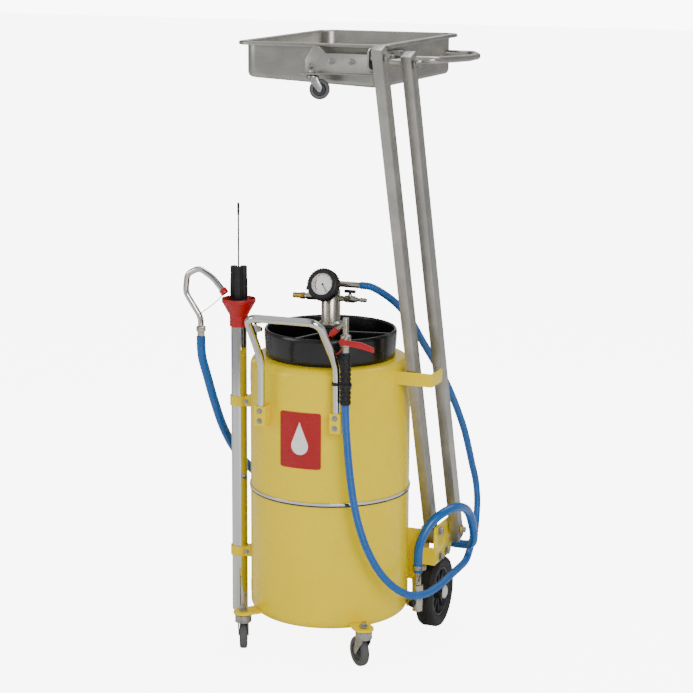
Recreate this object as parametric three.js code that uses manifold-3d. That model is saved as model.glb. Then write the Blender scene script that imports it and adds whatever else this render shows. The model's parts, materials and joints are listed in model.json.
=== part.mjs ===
// Mobile waste-oil drainer: a wheeled suction tank with a drain pan raised on two folding arms.
// Millimetres, +Z up, +X towards the folding arms, -Y towards the push handle.
import * as THREE from 'three';
import { mergeVertices } from 'three/addons/utils/BufferGeometryUtils.js';
import Module from 'manifold-3d';

const wasm = await Module();
wasm.setup();

// ---- driving dimensions -------------------------------------------------------------------
const GAP = 0.3;                     // between pieces that touch
const SHEET = 4;                     // plate thickness of the yellow steelwork
const TANK = { radius: 210, bottom: 90, top: 780, wall: 3, fillet: 25, neck: 30 };
const TANK_SIDES = 36;
const BAND = { z: 429, height: 10, proud: 3 };
const PANEL = { halfAngle: 15.5, bottom: 523, top: 670, thick: 1 };
const TRAY = { radius: 174, height: 73, wall: 9, floor: 8, divider: 8, dividerDrop: 14, boss: 34,
    bore: 15 };
const HANDLE = { tube: 10, legX: 103, legY: -TANK.radius - 8, foot: 655, knee: 800, barX: 97,
    barY: -TANK.radius - 112, barZ: 928 };
const HANDLE_BRACKET = { width: 30, bottom: 628, top: 680, front: 12 };
const HOLDER = { x: -TANK.radius - 35, y: -40, radius: 21, wall: 1.5, bottom: 60, top: 862 };
const STRAP = { height: 27, wall: 3, upperZ: 643, lowerZ: 228 };
const FUNNEL = { neck: 24.5, mouth: 45, neckBottom: 843, coneBottom: 872, coneTop: 906, top: 918,
    wall: 2.2 };
const PROBE = { count: 3, ring: 14.5, tube: 4, grip: 11, gripBottom: 886, gripTop: 1005, bottom: 110 };
const LONG_PROBE = { rod: 2.2, grip: 3.2, bottom: 150, gripBottom: 1138, top: 1172 };
const HEAD = { flange: 31, body: 25, seat: 852, bodyTop: 950, capTop: 958, stem: 14, stemBottom: 760 };
const GAUGE = { y: -50, z: 972, tilt: 20, caseRadius: 36, caseDepth: 26, boot: 41.5, bootDepth: 22 };
const PORT_Z = 930;                  // height of the two side valves on the vacuum head
const VENT = { x: 18 - TANK.radius, y: -52, z: 842, radius: 9, foot: 779.5 };
const ELBOW = { z: 967, tube: 8, end: 80, y: 6 };
const LEVEL = { x: -TANK.radius - 12, y: 2, tube: 6, bottom: 110, top: 715, fitting: 11 };
const REAR_WHEEL = { radius: 97.5, width: 50, x: TANK.radius + 20, y: TANK.radius - 11, axle: 8,
    clearance: 0.4 };
const CASTER = { radius: 40, width: 20, trail: 22, x: TANK.radius - 40, y: 23 - TANK.radius, axle: 4,
    housing: 22, stem: 5 };
const PAN_CASTER = { radius: 25, width: 17, trail: 17, x: 58, y: -272, axle: 3, housing: 15, stem: 4 };
const LUG = { bottom: 104, top: 110, radius: 26 };
const ARM = { width: 25, depth: 40, wall: 2, foot: 30, head: 24, bore: 6.6, pin: 6 };
const ARM_HEAD_Y = -300;             // front arm's upper pivot
const ARM_HEAD_Z = 1576;
const ARM_FOOT_Y = 132;              // front arm's lower pivot
const ARM_FOOT_Z = 290;
const REAR_ARM_DY = 100;             // rear arm's pivots from the front arm's
const REAR_ARM_DZ = -20;
const FRONT_ARM_X = TANK.radius + 30.5; // middle of each arm across the unit
const REAR_ARM_X = FRONT_ARM_X + 38;
const BRACKET_GAP = 4;               // between an arm and the plate beside it
const REST = { z: 744.5, height: 35, y: -52, length: 82, clearance: 4.5 };
const PAN_LENGTH = 585;
const PAN = { x: FRONT_ARM_X - 209.5, y: ARM_HEAD_Y + 65.5 + PAN_LENGTH / 2, width: 400,
  length: PAN_LENGTH, rim: 20,
    rimTop: ARM_HEAD_Z + 24, rimHeight: 9 };
const PAN_BODY = { sheet: 2, corner: 32, lowLeft: PAN.rimTop - 88, lowRight: PAN.rimTop - 107 };
const CRADLE = { sheet: 4, plateX: FRONT_ARM_X - 23.5, frontY: ARM_HEAD_Y + 48,
    frontBottom: ARM_HEAD_Z - 44, frontTop: ARM_HEAD_Z + 2, left: 30,
    shelf: 41, lip: 14 };
const PAN_HANDLE = { radius: 8.5, bend: 22 };
const GUN_LEVER = { stem: 16, hub: 9, length: 82, width: 12, thick: 8 };
const GUN = { x: 130, y: -TANK.radius - 16, guardBottom: 706, guardTop: 838, guard: 14, top: 928 };
const OUTLET = { x: TANK.radius + 26, y: 41, bottom: 92, top: 178, barbTop: 198 };
const SPOUT_TUBE = 8;
const SUCTION_HOSE = { radius: 9.8, sides: 8, steps: 64 };
const DISCHARGE_HOSE = { radius: 12, sides: 8, steps: 44 };

// ---- materials ----------------------------------------------------------------------------
function finish(color, roughness, metalness) {
  return new THREE.MeshStandardMaterial({ color, roughness, metalness });
}
const yellow = finish('#f0d000', 0.3, 0.0);
const black = finish('#151515', 0.45, 0.0);
const chrome = finish('#c8c8c8', 0.15, 1.0);
const nickel = finish('#b0aca0', 0.3, 1.0);
const brass = finish('#b8964a', 0.35, 1.0);
const stainless = finish('#8e8c86', 0.4, 1.0);
const zinc = finish('#9a9a98', 0.45, 1.0);
const red = finish('#c31420', 0.4, 0.0);
const blue = finish('#1c7fc8', 0.35, 0.0);
const greyRubber = finish('#7d7d7d', 0.7, 0.0);
const tyreRubber = finish('#303030', 0.8, 0.0);
const clear = finish('#d8dcd8', 0.2, 0.0);
const panelPaint = finish('#b01c22', 0.4, 0.0);

// ---- solids -------------------------------------------------------------------------------
function solidOf(geometry) {
  const bare = geometry.clone();
  bare.deleteAttribute('normal');
  bare.deleteAttribute('uv');
  const merged = mergeVertices(bare, 1e-3);
  const index = merged.index.array;
  const kept = [];
  for (let i = 0; i < index.length; i += 3) {
    const [a, b, c] = [index[i], index[i + 1], index[i + 2]];
    if (a !== b && b !== c && c !== a) {
      kept.push(a, b, c);
    }
  }
  const vertProperties = new Float32Array(merged.attributes.position.array);
  let triVerts = new Uint32Array(kept);
  if (signedVolume(vertProperties, triVerts) < 0) {
    triVerts = triVerts.reverse();
  }
  return new wasm.Manifold(new wasm.Mesh({ numProp: 3, vertProperties, triVerts }));
}

function signedVolume(vertices, triangles) {
  let volume = 0;
  const [a, b, c] = [new THREE.Vector3(), new THREE.Vector3(), new THREE.Vector3()];
  for (let i = 0; i < triangles.length; i += 3) {
    a.fromArray(vertices, triangles[i] * 3);
    b.fromArray(vertices, triangles[i + 1] * 3);
    c.fromArray(vertices, triangles[i + 2] * 3);
    volume += a.dot(b.cross(c)) / 6;
  }
  return volume;
}

function joined(...solids) {
  return solids.reduce((sum, solid) => sum.add(solid));
}

function block(x0, x1, y0, y1, z0, z1) {
  const box = new THREE.BoxGeometry(x1 - x0, y1 - y0, z1 - z0);
  return solidOf(box.translate((x0 + x1) / 2, (y0 + y1) / 2, (z0 + z1) / 2));
}

function along(geometry, from, direction) {
  const turn = new THREE.Quaternion().setFromUnitVectors(new THREE.Vector3(0, 0, 1), direction);
  return geometry.applyQuaternion(turn).translate(from.x, from.y, from.z);
}

// A turned piece: profile of [radius, height] pairs, its height measured from a point along a direction.
function turned(profile, from = [0, 0, 0], direction = [0, 0, 1], sides = 16) {
  const points = profile.map(([radius, height]) => new THREE.Vector2(radius, height));
  const lathe = new THREE.LatheGeometry(points, sides).rotateX(Math.PI / 2);
  const axis = new THREE.Vector3(...direction).normalize();
  return solidOf(along(lathe, new THREE.Vector3(...from), axis));
}

function rod(from, to, radius, sides = 12) {
  const start = new THREE.Vector3(...from);
  const axis = new THREE.Vector3(...to).sub(start);
  const length = axis.length();
  return turned([[0, 0], [radius, 0], [radius, length], [0, length]], from, axis.toArray(), sides);
}

function tubeRing(inner, outer, bottom, top) {
  return [[inner, bottom], [outer, bottom], [outer, top], [inner, top], [inner, bottom]];
}

function circleShape(radius, sides) {
  const corners = [];
  for (let i = 0; i < sides; i += 1) {
    const angle = (i / sides) * Math.PI * 2;
    corners.push(new THREE.Vector2(Math.cos(angle) * radius, Math.sin(angle) * radius));
  }
  return new THREE.Shape(corners);
}

// A bent tube through corner points, each corner rounded with the given bend length.
function bentTube(corners, radius, bend, steps = 40, sides = 14) {
  const path = new THREE.CurvePath();
  const points = corners.map((corner) => new THREE.Vector3(...corner));
  let start = points[0];
  for (let i = 1; i < points.length - 1; i += 1) {
    const back = points[i - 1].clone().sub(points[i]).setLength(bend).add(points[i]);
    const ahead = points[i + 1].clone().sub(points[i]).setLength(bend).add(points[i]);
    path.add(new THREE.LineCurve3(start, back));
    path.add(new THREE.QuadraticBezierCurve3(back, points[i], ahead));
    start = ahead;
  }
  path.add(new THREE.LineCurve3(start, points[points.length - 1]));
  return sweep(path, radius, steps, sides);
}

function sweep(path, radius, steps, sides) {
  const shape = circleShape(radius, sides);
  return solidOf(new THREE.ExtrudeGeometry(shape, { steps, extrudePath: path, curveSegments: 1 }));
}

function hoseTube(route, hose) {
  const path = new THREE.CatmullRomCurve3(route.map((point) => new THREE.Vector3(...point)), false,
      'centripetal');
  return sweep(path, hose.radius, hose.steps, hose.sides);
}

// A plate standing in the Y-Z plane: outline of [y, z] pairs between two x values.
function sidePlate(outline, x0, x1) {
  const shape = new THREE.Shape(outline.map(([y, z]) => new THREE.Vector2(y, z)));
  const plate = new THREE.ExtrudeGeometry(shape, { depth: x1 - x0, bevelEnabled: false });
  plate.applyMatrix4(new THREE.Matrix4().set(0, 0, 1, x0, 1, 0, 0, 0, 0, 1, 0, 0, 0, 0, 0, 1));
  return solidOf(plate);
}

// A plate standing in the X-Z plane: outline of [x, z] pairs between two y values.
function frontPlate(outline, y0, y1) {
  const shape = new THREE.Shape(outline.map(([x, z]) => new THREE.Vector2(x, z)));
  const plate = new THREE.ExtrudeGeometry(shape, { depth: y1 - y0, bevelEnabled: false });
  return solidOf(plate.rotateX(Math.PI / 2).translate(0, y1, 0));
}

function roundedRectangle(cx, cy, width, length, corner, z0, z1) {
  const [w, l] = [width / 2, length / 2];
  const shape = new THREE.Shape();
  shape.moveTo(cx - w + corner, cy - l);
  shape.lineTo(cx + w - corner, cy - l);
  shape.absarc(cx + w - corner, cy - l + corner, corner, -Math.PI / 2, 0, false);
  shape.lineTo(cx + w, cy + l - corner);
  shape.absarc(cx + w - corner, cy + l - corner, corner, 0, Math.PI / 2, false);
  shape.lineTo(cx - w + corner, cy + l);
  shape.absarc(cx - w + corner, cy + l - corner, corner, Math.PI / 2, Math.PI, false);
  shape.lineTo(cx - w, cy - l + corner);
  shape.absarc(cx - w + corner, cy - l + corner, corner, Math.PI, Math.PI * 1.5, false);
  const slab = new THREE.ExtrudeGeometry(shape, { depth: z1 - z0, bevelEnabled: false, curveSegments: 4 });
  return solidOf(slab.translate(0, 0, z0));
}

const unit = new THREE.Group();
const cords = [];

function addNode(name, solid, material, isCord = false) {
  const mesh = solid.getMesh();
  const geometry = new THREE.BufferGeometry();
  geometry.setAttribute('position', new THREE.BufferAttribute(new Float32Array(mesh.vertProperties), 3));
  geometry.setIndex(new THREE.BufferAttribute(new Uint32Array(mesh.triVerts), 1));
  geometry.computeVertexNormals();
  const node = new THREE.Mesh(geometry, material);
  node.name = name;
  unit.add(node);
  if (isCord) {
    cords.push(node);
  }
}

// ---- tank ---------------------------------------------------------------------------------
const tankSkin = rod([0, 0, 0], [0, 0, TANK.top + 10], TANK.radius + GAP, 96);

function arcPoints(cr, cz, radius, from, to, count = 3) {
  const points = [];
  for (let i = 0; i <= count; i += 1) {
    const angle = THREE.MathUtils.degToRad(from + ((to - from) * i) / count);
    points.push([cr + Math.cos(angle) * radius, cz + Math.sin(angle) * radius]);
  }
  return points;
}

function addTank() {
  const { radius, bottom, top, wall, fillet, neck } = TANK;
  const corner = radius - fillet;
  const profile = [
    [0, bottom],
    ...arcPoints(corner, bottom + fillet, fillet, -90, 0),
    ...arcPoints(corner, top - fillet, fillet, 0, 90),
    [neck, top],
    [neck, top - wall],
    ...arcPoints(corner, top - fillet, fillet - wall, 90, 0),
    ...arcPoints(corner, bottom + fillet, fillet - wall, 0, -90),
    [0, bottom + wall],
  ];
  addNode('tank_shell', turned(profile, [0, 0, 0], [0, 0, 1], TANK_SIDES), yellow);
  const band = tubeRing(radius + GAP + 0.4, radius + BAND.proud, BAND.z - BAND.height / 2,
      BAND.z + BAND.height / 2);
  addNode('tank_band', turned(band, [0, 0, 0], [0, 0, 1], TANK_SIDES), chrome);
  const [inner, outer] = [radius + 0.8, radius + 0.8 + PANEL.thick];
  const half = THREE.MathUtils.degToRad(PANEL.halfAngle);
  const front = -Math.PI / 2;
  const sector = new THREE.Shape();
  sector.absarc(0, 0, outer, front - half, front + half, false);
  sector.absarc(0, 0, inner, front + half, front - half, true);
  const panel = new THREE.ExtrudeGeometry(sector, { depth: PANEL.top - PANEL.bottom, bevelEnabled: false });
  addNode('front_panel', solidOf(panel.translate(0, 0, PANEL.bottom)), panelPaint);
}

function addTray() {
  const { radius, height, wall, floor, divider, dividerDrop, boss, bore } = TRAY;
  const base = TANK.top + GAP;
  const rim = base + height;
  const inner = radius - wall;
  const ring = [[bore, base], [radius - 4, base], [radius, rim - 8], [radius - 3, rim],
    [inner, rim - 3], [inner - 3, base + floor], [bore, base + floor], [bore, base]];
  let tray = turned(ring, [0, 0, 0], [0, 0, 1], 32);
  const half = divider / 2;
  for (let i = 0; i < 3; i += 1) {
    const bar = new THREE.BoxGeometry(inner - bore - 4, divider, height - dividerDrop);
    bar.translate((inner + bore + 4) / 2, 0, base + floor / 2 + (height - dividerDrop) / 2);
    bar.rotateZ(THREE.MathUtils.degToRad(10 + i * 120));
    tray = tray.add(solidOf(bar));
  }
  const post = turned(tubeRing(bore, boss, base, HEAD.seat - GAP), [0, 0, 0], [0, 0, 1], 20);
  addNode('tool_tray', tray.add(post), black);
}

// ---- push handle --------------------------------------------------------------------------
function addPushHandle() {
  const { tube, legX, legY, foot, knee, barX, barY, barZ } = HANDLE;
  const corners = [[-legX, legY, foot], [-legX, legY, knee], [-barX, barY, barZ],
    [barX, barY, barZ], [legX, legY, knee], [legX, legY, foot]];
  addNode('push_handle', bentTube(corners, tube, 30, 34, 8), chrome);
  const { width, bottom, top, front } = HANDLE_BRACKET;
  for (const [side, name] of [[-1, 'handle_bracket_left'], [1, 'handle_bracket_right']]) {
    const middle = side * legX;
    const body = block(middle - width / 2, middle + width / 2, legY - front, -TANK.radius * 0.8,
        bottom, top);
    const socket = rod([middle, legY, foot - GAP], [middle, legY, top + 5], tube + GAP * 3);
    addNode(name, body.subtract(tankSkin).subtract(socket), yellow);
  }
}

// ---- probe holder -------------------------------------------------------------------------
function addProbeHolder() {
  const { x, y, radius, wall, bottom, top } = HOLDER;
  const inner = radius - wall;
  const profile = [[0, bottom], [radius, bottom], [radius, top], [inner, top], [inner, bottom + wall],
      [0, bottom + wall]];
  addNode('probe_holder_tube', turned(profile, [x, y, 0], [0, 0, 1], 20), chrome);
  const clampInner = radius + GAP * 2;
  const clampOuter = clampInner + STRAP.wall;
  for (const [z, name] of [[STRAP.upperZ, 'holder_strap_upper'], [STRAP.lowerZ, 'holder_strap_lower']]) {
    const half = STRAP.height / 2;
    const ring = turned(tubeRing(clampInner, clampOuter, z - half, z + half), [x, y, 0], [0, 0, 1], 20);
    const tabs = block(x + clampInner, -TANK.radius * 0.9, y - 14, y + 18, z - half, z + half);
    const bore = rod([x, y, z - half - 1], [x, y, z + half + 1], clampInner, 20);
    addNode(name, ring.add(tabs).subtract(bore).subtract(tankSkin), yellow);
  }
  const f = FUNNEL;
  const neckInner = f.neck - f.wall;
  const funnel = [[neckInner, f.neckBottom], [f.neck, f.neckBottom], [f.neck, f.coneBottom],
      [f.mouth - 2, f.coneTop],
    [f.mouth, f.coneTop + 2], [f.mouth, f.top], [f.mouth - f.wall, f.top], [f.mouth - f.wall - 1,
        f.coneTop],
    [neckInner, f.coneBottom], [neckInner, f.neckBottom]];
  addNode('probe_funnel', turned(funnel, [x, y, 0], [0, 0, 1], 20), red);
  for (let i = 0; i < PROBE.count; i += 1) {
    const angle = THREE.MathUtils.degToRad(50 + (i * 360) / PROBE.count);
    const at = [x + Math.cos(angle) * PROBE.ring, y + Math.sin(angle) * PROBE.ring, 0];
    const probe = [[0, PROBE.bottom], [PROBE.tube, PROBE.bottom], [PROBE.tube, PROBE.gripBottom],
      [PROBE.grip - 2.5, PROBE.gripBottom], [PROBE.grip, PROBE.gripBottom + 45], [PROBE.grip - 1.5,
          PROBE.gripTop], [0, PROBE.gripTop]];
    addNode(`suction_probe_${i + 1}`, turned(probe, at, [0, 0, 1], 16), black);
  }
  const long = LONG_PROBE;
  const rodProfile = [[0, long.bottom], [long.rod, long.bottom], [long.rod, long.gripBottom],
    [long.grip, long.gripBottom + 3], [long.grip, long.top - 2], [0, long.top]];
  addNode('long_probe', turned(rodProfile, [x, y, 0], [0, 0, 1], 12), black);
}

function addLevelGauge() {
  const { x, y, tube, bottom, top, fitting } = LEVEL;
  let gauge = rod([x, y, bottom], [x, y, top], tube, 14);
  for (const z of [bottom + 10, top - 10]) {
    gauge = gauge.add(rod([x, y, z - 18], [x, y, z + 12], fitting - 2, 14));
    gauge = gauge.add(rod([x, y, z], [x + 40, y, z], 6, 12));
  }
  addNode('level_gauge', gauge.subtract(tankSkin), clear);
}

// ---- vacuum head, gauge and valves --------------------------------------------------------
function addVacuumHead() {
  const h = HEAD;
  const profile = [[0, h.stemBottom], [h.stem, h.stemBottom], [h.stem, h.seat], [h.flange, h.seat],
      [h.flange, h.seat + 14],
    [h.body, h.seat + 18], [h.body, h.bodyTop], [18, h.capTop], [0, h.capTop]];
  const elbow = bentTube([[0, ELBOW.y, h.capTop - 6], [0, ELBOW.y, ELBOW.z], [ELBOW.end, ELBOW.y,
      ELBOW.z]], ELBOW.tube, 8, 10, 10);
  const neck = rod([0, -4, ELBOW.z - 7], [0, GAUGE.y + GAUGE.caseDepth / 2, GAUGE.z - 3], 6, 12);
  const ports = rod([-h.body - 8, 0, PORT_Z], [h.body + 8, 0, PORT_Z], 8, 12);
  const body = joined(turned(profile, [0, 0, 0], [0, 0, 1], 24), elbow, ports, neck);
  const tilt = THREE.MathUtils.degToRad(GAUGE.tilt);
  const face = [0, -Math.cos(tilt), Math.sin(tilt)];
  const centre = [0, GAUGE.y, GAUGE.z];
  const half = GAUGE.caseDepth / 2;
  const clearCase = turned([[0, -half - GAP], [GAUGE.boot + 2, -half - GAP], [GAUGE.boot + 2, 40], [0,
      40]], centre, face);
  addNode('vacuum_head', body.subtract(clearCase), nickel);
  const dial = half - 5;
  const casing = [[0, -half], [GAUGE.caseRadius, -half], [GAUGE.caseRadius, half],
      [GAUGE.caseRadius - 2.5, half],
    [GAUGE.caseRadius - 2.5, dial], [0, dial]];
  addNode('gauge_case', turned(casing, centre, face, 24), nickel);
  const bootHalf = GAUGE.bootDepth / 2;
  addNode('gauge_boot', turned(tubeRing(GAUGE.caseRadius + GAP * 2, GAUGE.boot, -bootHalf, bootHalf),
      centre, face, 24), black);
  const needle = turned([[0, dial + GAP], [2.5, dial + GAP], [2.5, dial + 2], [0, dial + 2]], centre,
      face, 12);
  const pointer = new THREE.BoxGeometry(1.6, 27, 1).translate(0, 10, dial + 1.3);
  const alongRoute = new THREE.Quaternion().setFromUnitVectors(new THREE.Vector3(0, 0, 1),
      new THREE.Vector3(...face));
  pointer.rotateZ(THREE.MathUtils.degToRad(215)).applyQuaternion(alongRoute).translate(...centre);
  addNode('gauge_needle', needle.add(solidOf(pointer)), black);
}

// A ball valve on the X axis: hexagon body, ports at both ends and a stem hole on top for its T-handle.
function addBallValve(name, at, inner, outer, radius, footLength = 0) {
  const [x, y, z] = at;
  const body = joined(
    rod([x - inner, y, z], [x + inner, y, z], radius, 6),
    rod([x - outer, y, z], [x + outer, y, z], radius * 0.7, 12),
    rod([x, y, z - footLength], [x, y, z + radius + 3], radius * 0.55, 12),
  );
  addNode(name, body, nickel);
  const base = z + radius + 3 + GAP;
  const stem = rod([x, y, base], [x, y, base + 5], 3.5, 12);
  addNode(`${name}_handle`, stem.add(block(x - 15, x + 15, y - 4.5, y + 4.5, base + 3, base + 11)), black);
}

function addValves() {
  const reach = HEAD.body + 8 + GAP;
  addBallValve('silencer_valve', [-reach - 20, 0, PORT_Z], 13, 20, 10);
  const silencerEnd = -reach - 40 - GAP;
  const silencer = [[0, 0], [7.5, 0], [7.5, 22], [9.5, 22], [9.5, 32], [0, 32]];
  addNode('silencer', turned(silencer, [silencerEnd - 32, 0, PORT_Z], [1, 0, 0], 16), brass);
  addBallValve('barb_valve', [reach + 20, 0, PORT_Z], 13, 20, 10);
  const barb = [[0, 0], [5, 0], [6.5, 8], [5, 8], [6.5, 16], [5, 16], [5, 26], [0, 26]];
  addNode('valve_barb', turned(barb, [reach + 40 + GAP + 26, 0, PORT_Z], [-1, 0, 0], 12), nickel);
  addBallValve('vent_valve', [VENT.x, VENT.y, VENT.z], 12, 18, VENT.radius, VENT.z - VENT.foot);
}

// ---- suction gun --------------------------------------------------------------------------
function addSuctionGun() {
  const { x, y, guardBottom, guardTop, guard, top } = GUN;
  const inner = SUCTION_HOSE.radius + GAP * 3;
  const profile = [[inner, guardBottom]];
  const ribs = 5;
  const pitch = (guardTop - guardBottom) / ribs;
  for (let i = 0; i < ribs; i += 1) {
    const z = guardBottom + i * pitch;
    profile.push([guard, z], [guard, z + pitch * 0.55], [guard - 2.5, z + pitch * 0.6], [guard - 2.5,
        z + pitch]);
  }
  profile.push([inner, guardTop], [inner, guardBottom]);
  addNode('hose_guard', turned(profile, [x, y, 0], [0, 0, 1], 12), black, true);
  const base = guardTop + GAP;
  const pivotZ = base + 31;
  const pivotY = y - GUN_LEVER.stem;
  const valve = joined(
    turned([[0, base], [9, base], [9, base + 16], [14, base + 18], [14, base + 44], [8, base + 48], [8,
        top], [0, top]], [x, y, 0], [0, 0, 1], 12),
    rod([x, y, pivotZ], [x, pivotY, pivotZ], 7, 12),
    rod([x, y, top - 10], [x - 22, y, top - 30], 6, 12),
  );
  addNode('gun_valve', valve, nickel, true);
  const { hub, length, width, thick } = GUN_LEVER;
  const front = pivotY - GAP - thick;
  const eye = rod([x, pivotY - GAP, pivotZ], [x, front, pivotZ], hub, 16);
  const outline = [[x, pivotZ + width / 2], [x, pivotZ - width / 2], [x + length * 0.6, pivotZ - width],
    [x + length, pivotZ - width * 1.6], [x + length, pivotZ - width * 0.6], [x + length * 0.6,
        pivotZ + width * 0.3]];
  const lever = frontPlate(outline, front, pivotY - GAP);
  addNode('gun_lever', eye.add(lever), red, true);
  const tip = new THREE.Vector3(x - 22, y, top - 30);
  const axis = new THREE.Vector3(-22, 0, -20).normalize();
  const capStart = tip.clone().addScaledVector(axis, GAP);
  addNode('gun_cap', turned([[0, 0], [8, 0], [8, 22], [5, 26], [0, 26]], capStart.toArray(),
      axis.toArray(), 16), red, true);
  const clipBottom = 752;
  const clipTop = clipBottom + 8;
  const legBore = rod([HANDLE.legX, HANDLE.legY, clipBottom - 1], [HANDLE.legX, HANDLE.legY,
      clipTop + 1], HANDLE.tube + GAP, 20);
  const guardBore = rod([x, y, clipBottom - 1], [x, y, clipTop + 1], guard + GAP, 20);
  const rings = joined(
    rod([HANDLE.legX, HANDLE.legY, clipBottom], [HANDLE.legX, HANDLE.legY, clipTop], HANDLE.tube + 2.6, 20),
    rod([x, y, clipBottom], [x, y, clipTop], guard + 2.6, 20),
  );
  addNode('gun_clip', rings.subtract(legBore).subtract(guardBore), black);
}

// ---- discharge line -----------------------------------------------------------------------
function addOutlet() {
  const { x, y, bottom, top, barbTop } = OUTLET;
  const body = joined(
    turned([[0, bottom], [14, bottom], [14, bottom + 36], [12, bottom + 40], [15, bottom + 44], [15,
        top - 14], [9, top - 12],
      [9, barbTop], [0, barbTop]], [x, y, 0], [0, 0, 1], 12),
    rod([TANK.radius * 0.9, y, bottom + 20], [x, y, bottom + 20], 11, 12),
    rod([x - 4, y, bottom + 28], [x - 4, y - 22, bottom + 28], 7, 12),
  );
  addNode('outlet_valve', body.subtract(tankSkin), nickel);
  const knob = [[0, 0], [10, 0], [10, 12], [7, 15], [0, 15]];
  addNode('outlet_valve_knob', turned(knob, [x - 4, y - 22 - GAP, bottom + 28], [0, -1, 0], 8), black);
  const hoseStart = barbTop + GAP;
  const clamp = turned(tubeRing(DISCHARGE_HOSE.radius + GAP * 2, DISCHARGE_HOSE.radius + 2.2,
      hoseStart + 8, hoseStart + 20), [x, y, 0], [0, 0, 1], 20);
  const screw = block(x + DISCHARGE_HOSE.radius + 1, x + DISCHARGE_HOSE.radius + 9, y - 8, y + 8,
      hoseStart + 9, hoseStart + 19);
  addNode('hose_clamp', clamp.add(screw), zinc);
}

const spoutFoot = [-349, -54, 838];
function addSpout() {
  const [x, y, z] = spoutFoot;
  const fitting = turned([[0, 0], [10, 0], [10, 12], [13, 13], [13, 26], [9, 28], [0, 28]], [x, y,
      z - 28], [0, 0, 1], 6);
  addNode('spout_fitting', fitting, nickel, true);
  const corners = [[x, y, z + GAP], [x, y, z + 22], [x - 42, y - 4, z + 88], [x - 36, y - 5, z + 138],
      [x, y - 6, z + 156],
    [x + 40, y - 6, z + 132], [x + 66, y - 8, z + 104]];
  addNode('discharge_spout', bentTube(corners, SPOUT_TUBE, 14, 28, 8), chrome, true);
  const end = new THREE.Vector3(...corners[6]);
  const axis = end.clone().sub(new THREE.Vector3(...corners[5])).normalize();
  const capStart = end.addScaledVector(axis, GAP);
  addNode('spout_cap', turned([[0, 0], [11, 0], [11, 14], [0, 14]], capStart.toArray(), axis.toArray(),
      16), red, true);
}

// The smooth discharge hose, from the barb of the outlet valve, round behind the tank, to the spout.
const dischargeRoute = [
  [236, 41, 198.3], [236, 41, 222], [238, 44, 268], [248, 57, 304], [264, 77, 333], [284, 105, 351],
      [302, 142, 357],
  [312, 186, 346], [315, 228, 320], [316, 258, 280], [313, 284, 238], [299, 306, 208], [264, 322, 198],
      [215, 329, 198],
  [150, 324, 208], [75, 308, 208], [0, 298, 216], [-80, 296, 234], [-150, 280, 262], [-212, 245, 302],
      [-262, 195, 352],
  [-294, 138, 408], [-313, 82, 470], [-326, 34, 542], [-336, 0, 620], [-344, -30, 700], [-348, -50,
      752], [-349, -54, 785], [-349, -54, 809.7],
];
// The spiral suction hose, from the elbow on the vacuum head, in a long loop behind the arms, to the gun.
const suctionRoute = [
  [80.3, 6, 967], [92, 6, 967], [108, 8, 965], [130, 20, 952], [152, 42, 930], [168, 76, 900], [181,
      122, 856], [190, 182, 796],
  [197, 262, 726], [201, 350, 652], [203, 438, 566], [203, 528, 466], [203, 604, 350], [206, 634, 290],
      [212, 632, 235],
  [222, 594, 190], [238, 530, 168], [255, 450, 166], [276, 362, 166], [296, 266, 170], [306, 180, 178],
      [309, 92, 182], [304, 8, 178],
  [290, -58, 176], [266, -108, 186], [240, -144, 212], [214, -176, 254], [190, -200, 310], [170, -216,
      376], [154, -224, 452],
  [143, -227, 534], [135, -227, 616], [131, -226, 676], [130, -226, 740], [130, -226, 838],
];

function addHoses() {
  addNode('discharge_hose', hoseTube(dischargeRoute, DISCHARGE_HOSE), blue, true);
  addNode('suction_hose', hoseTube(suctionRoute, SUCTION_HOSE), blue, true);
}

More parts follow.
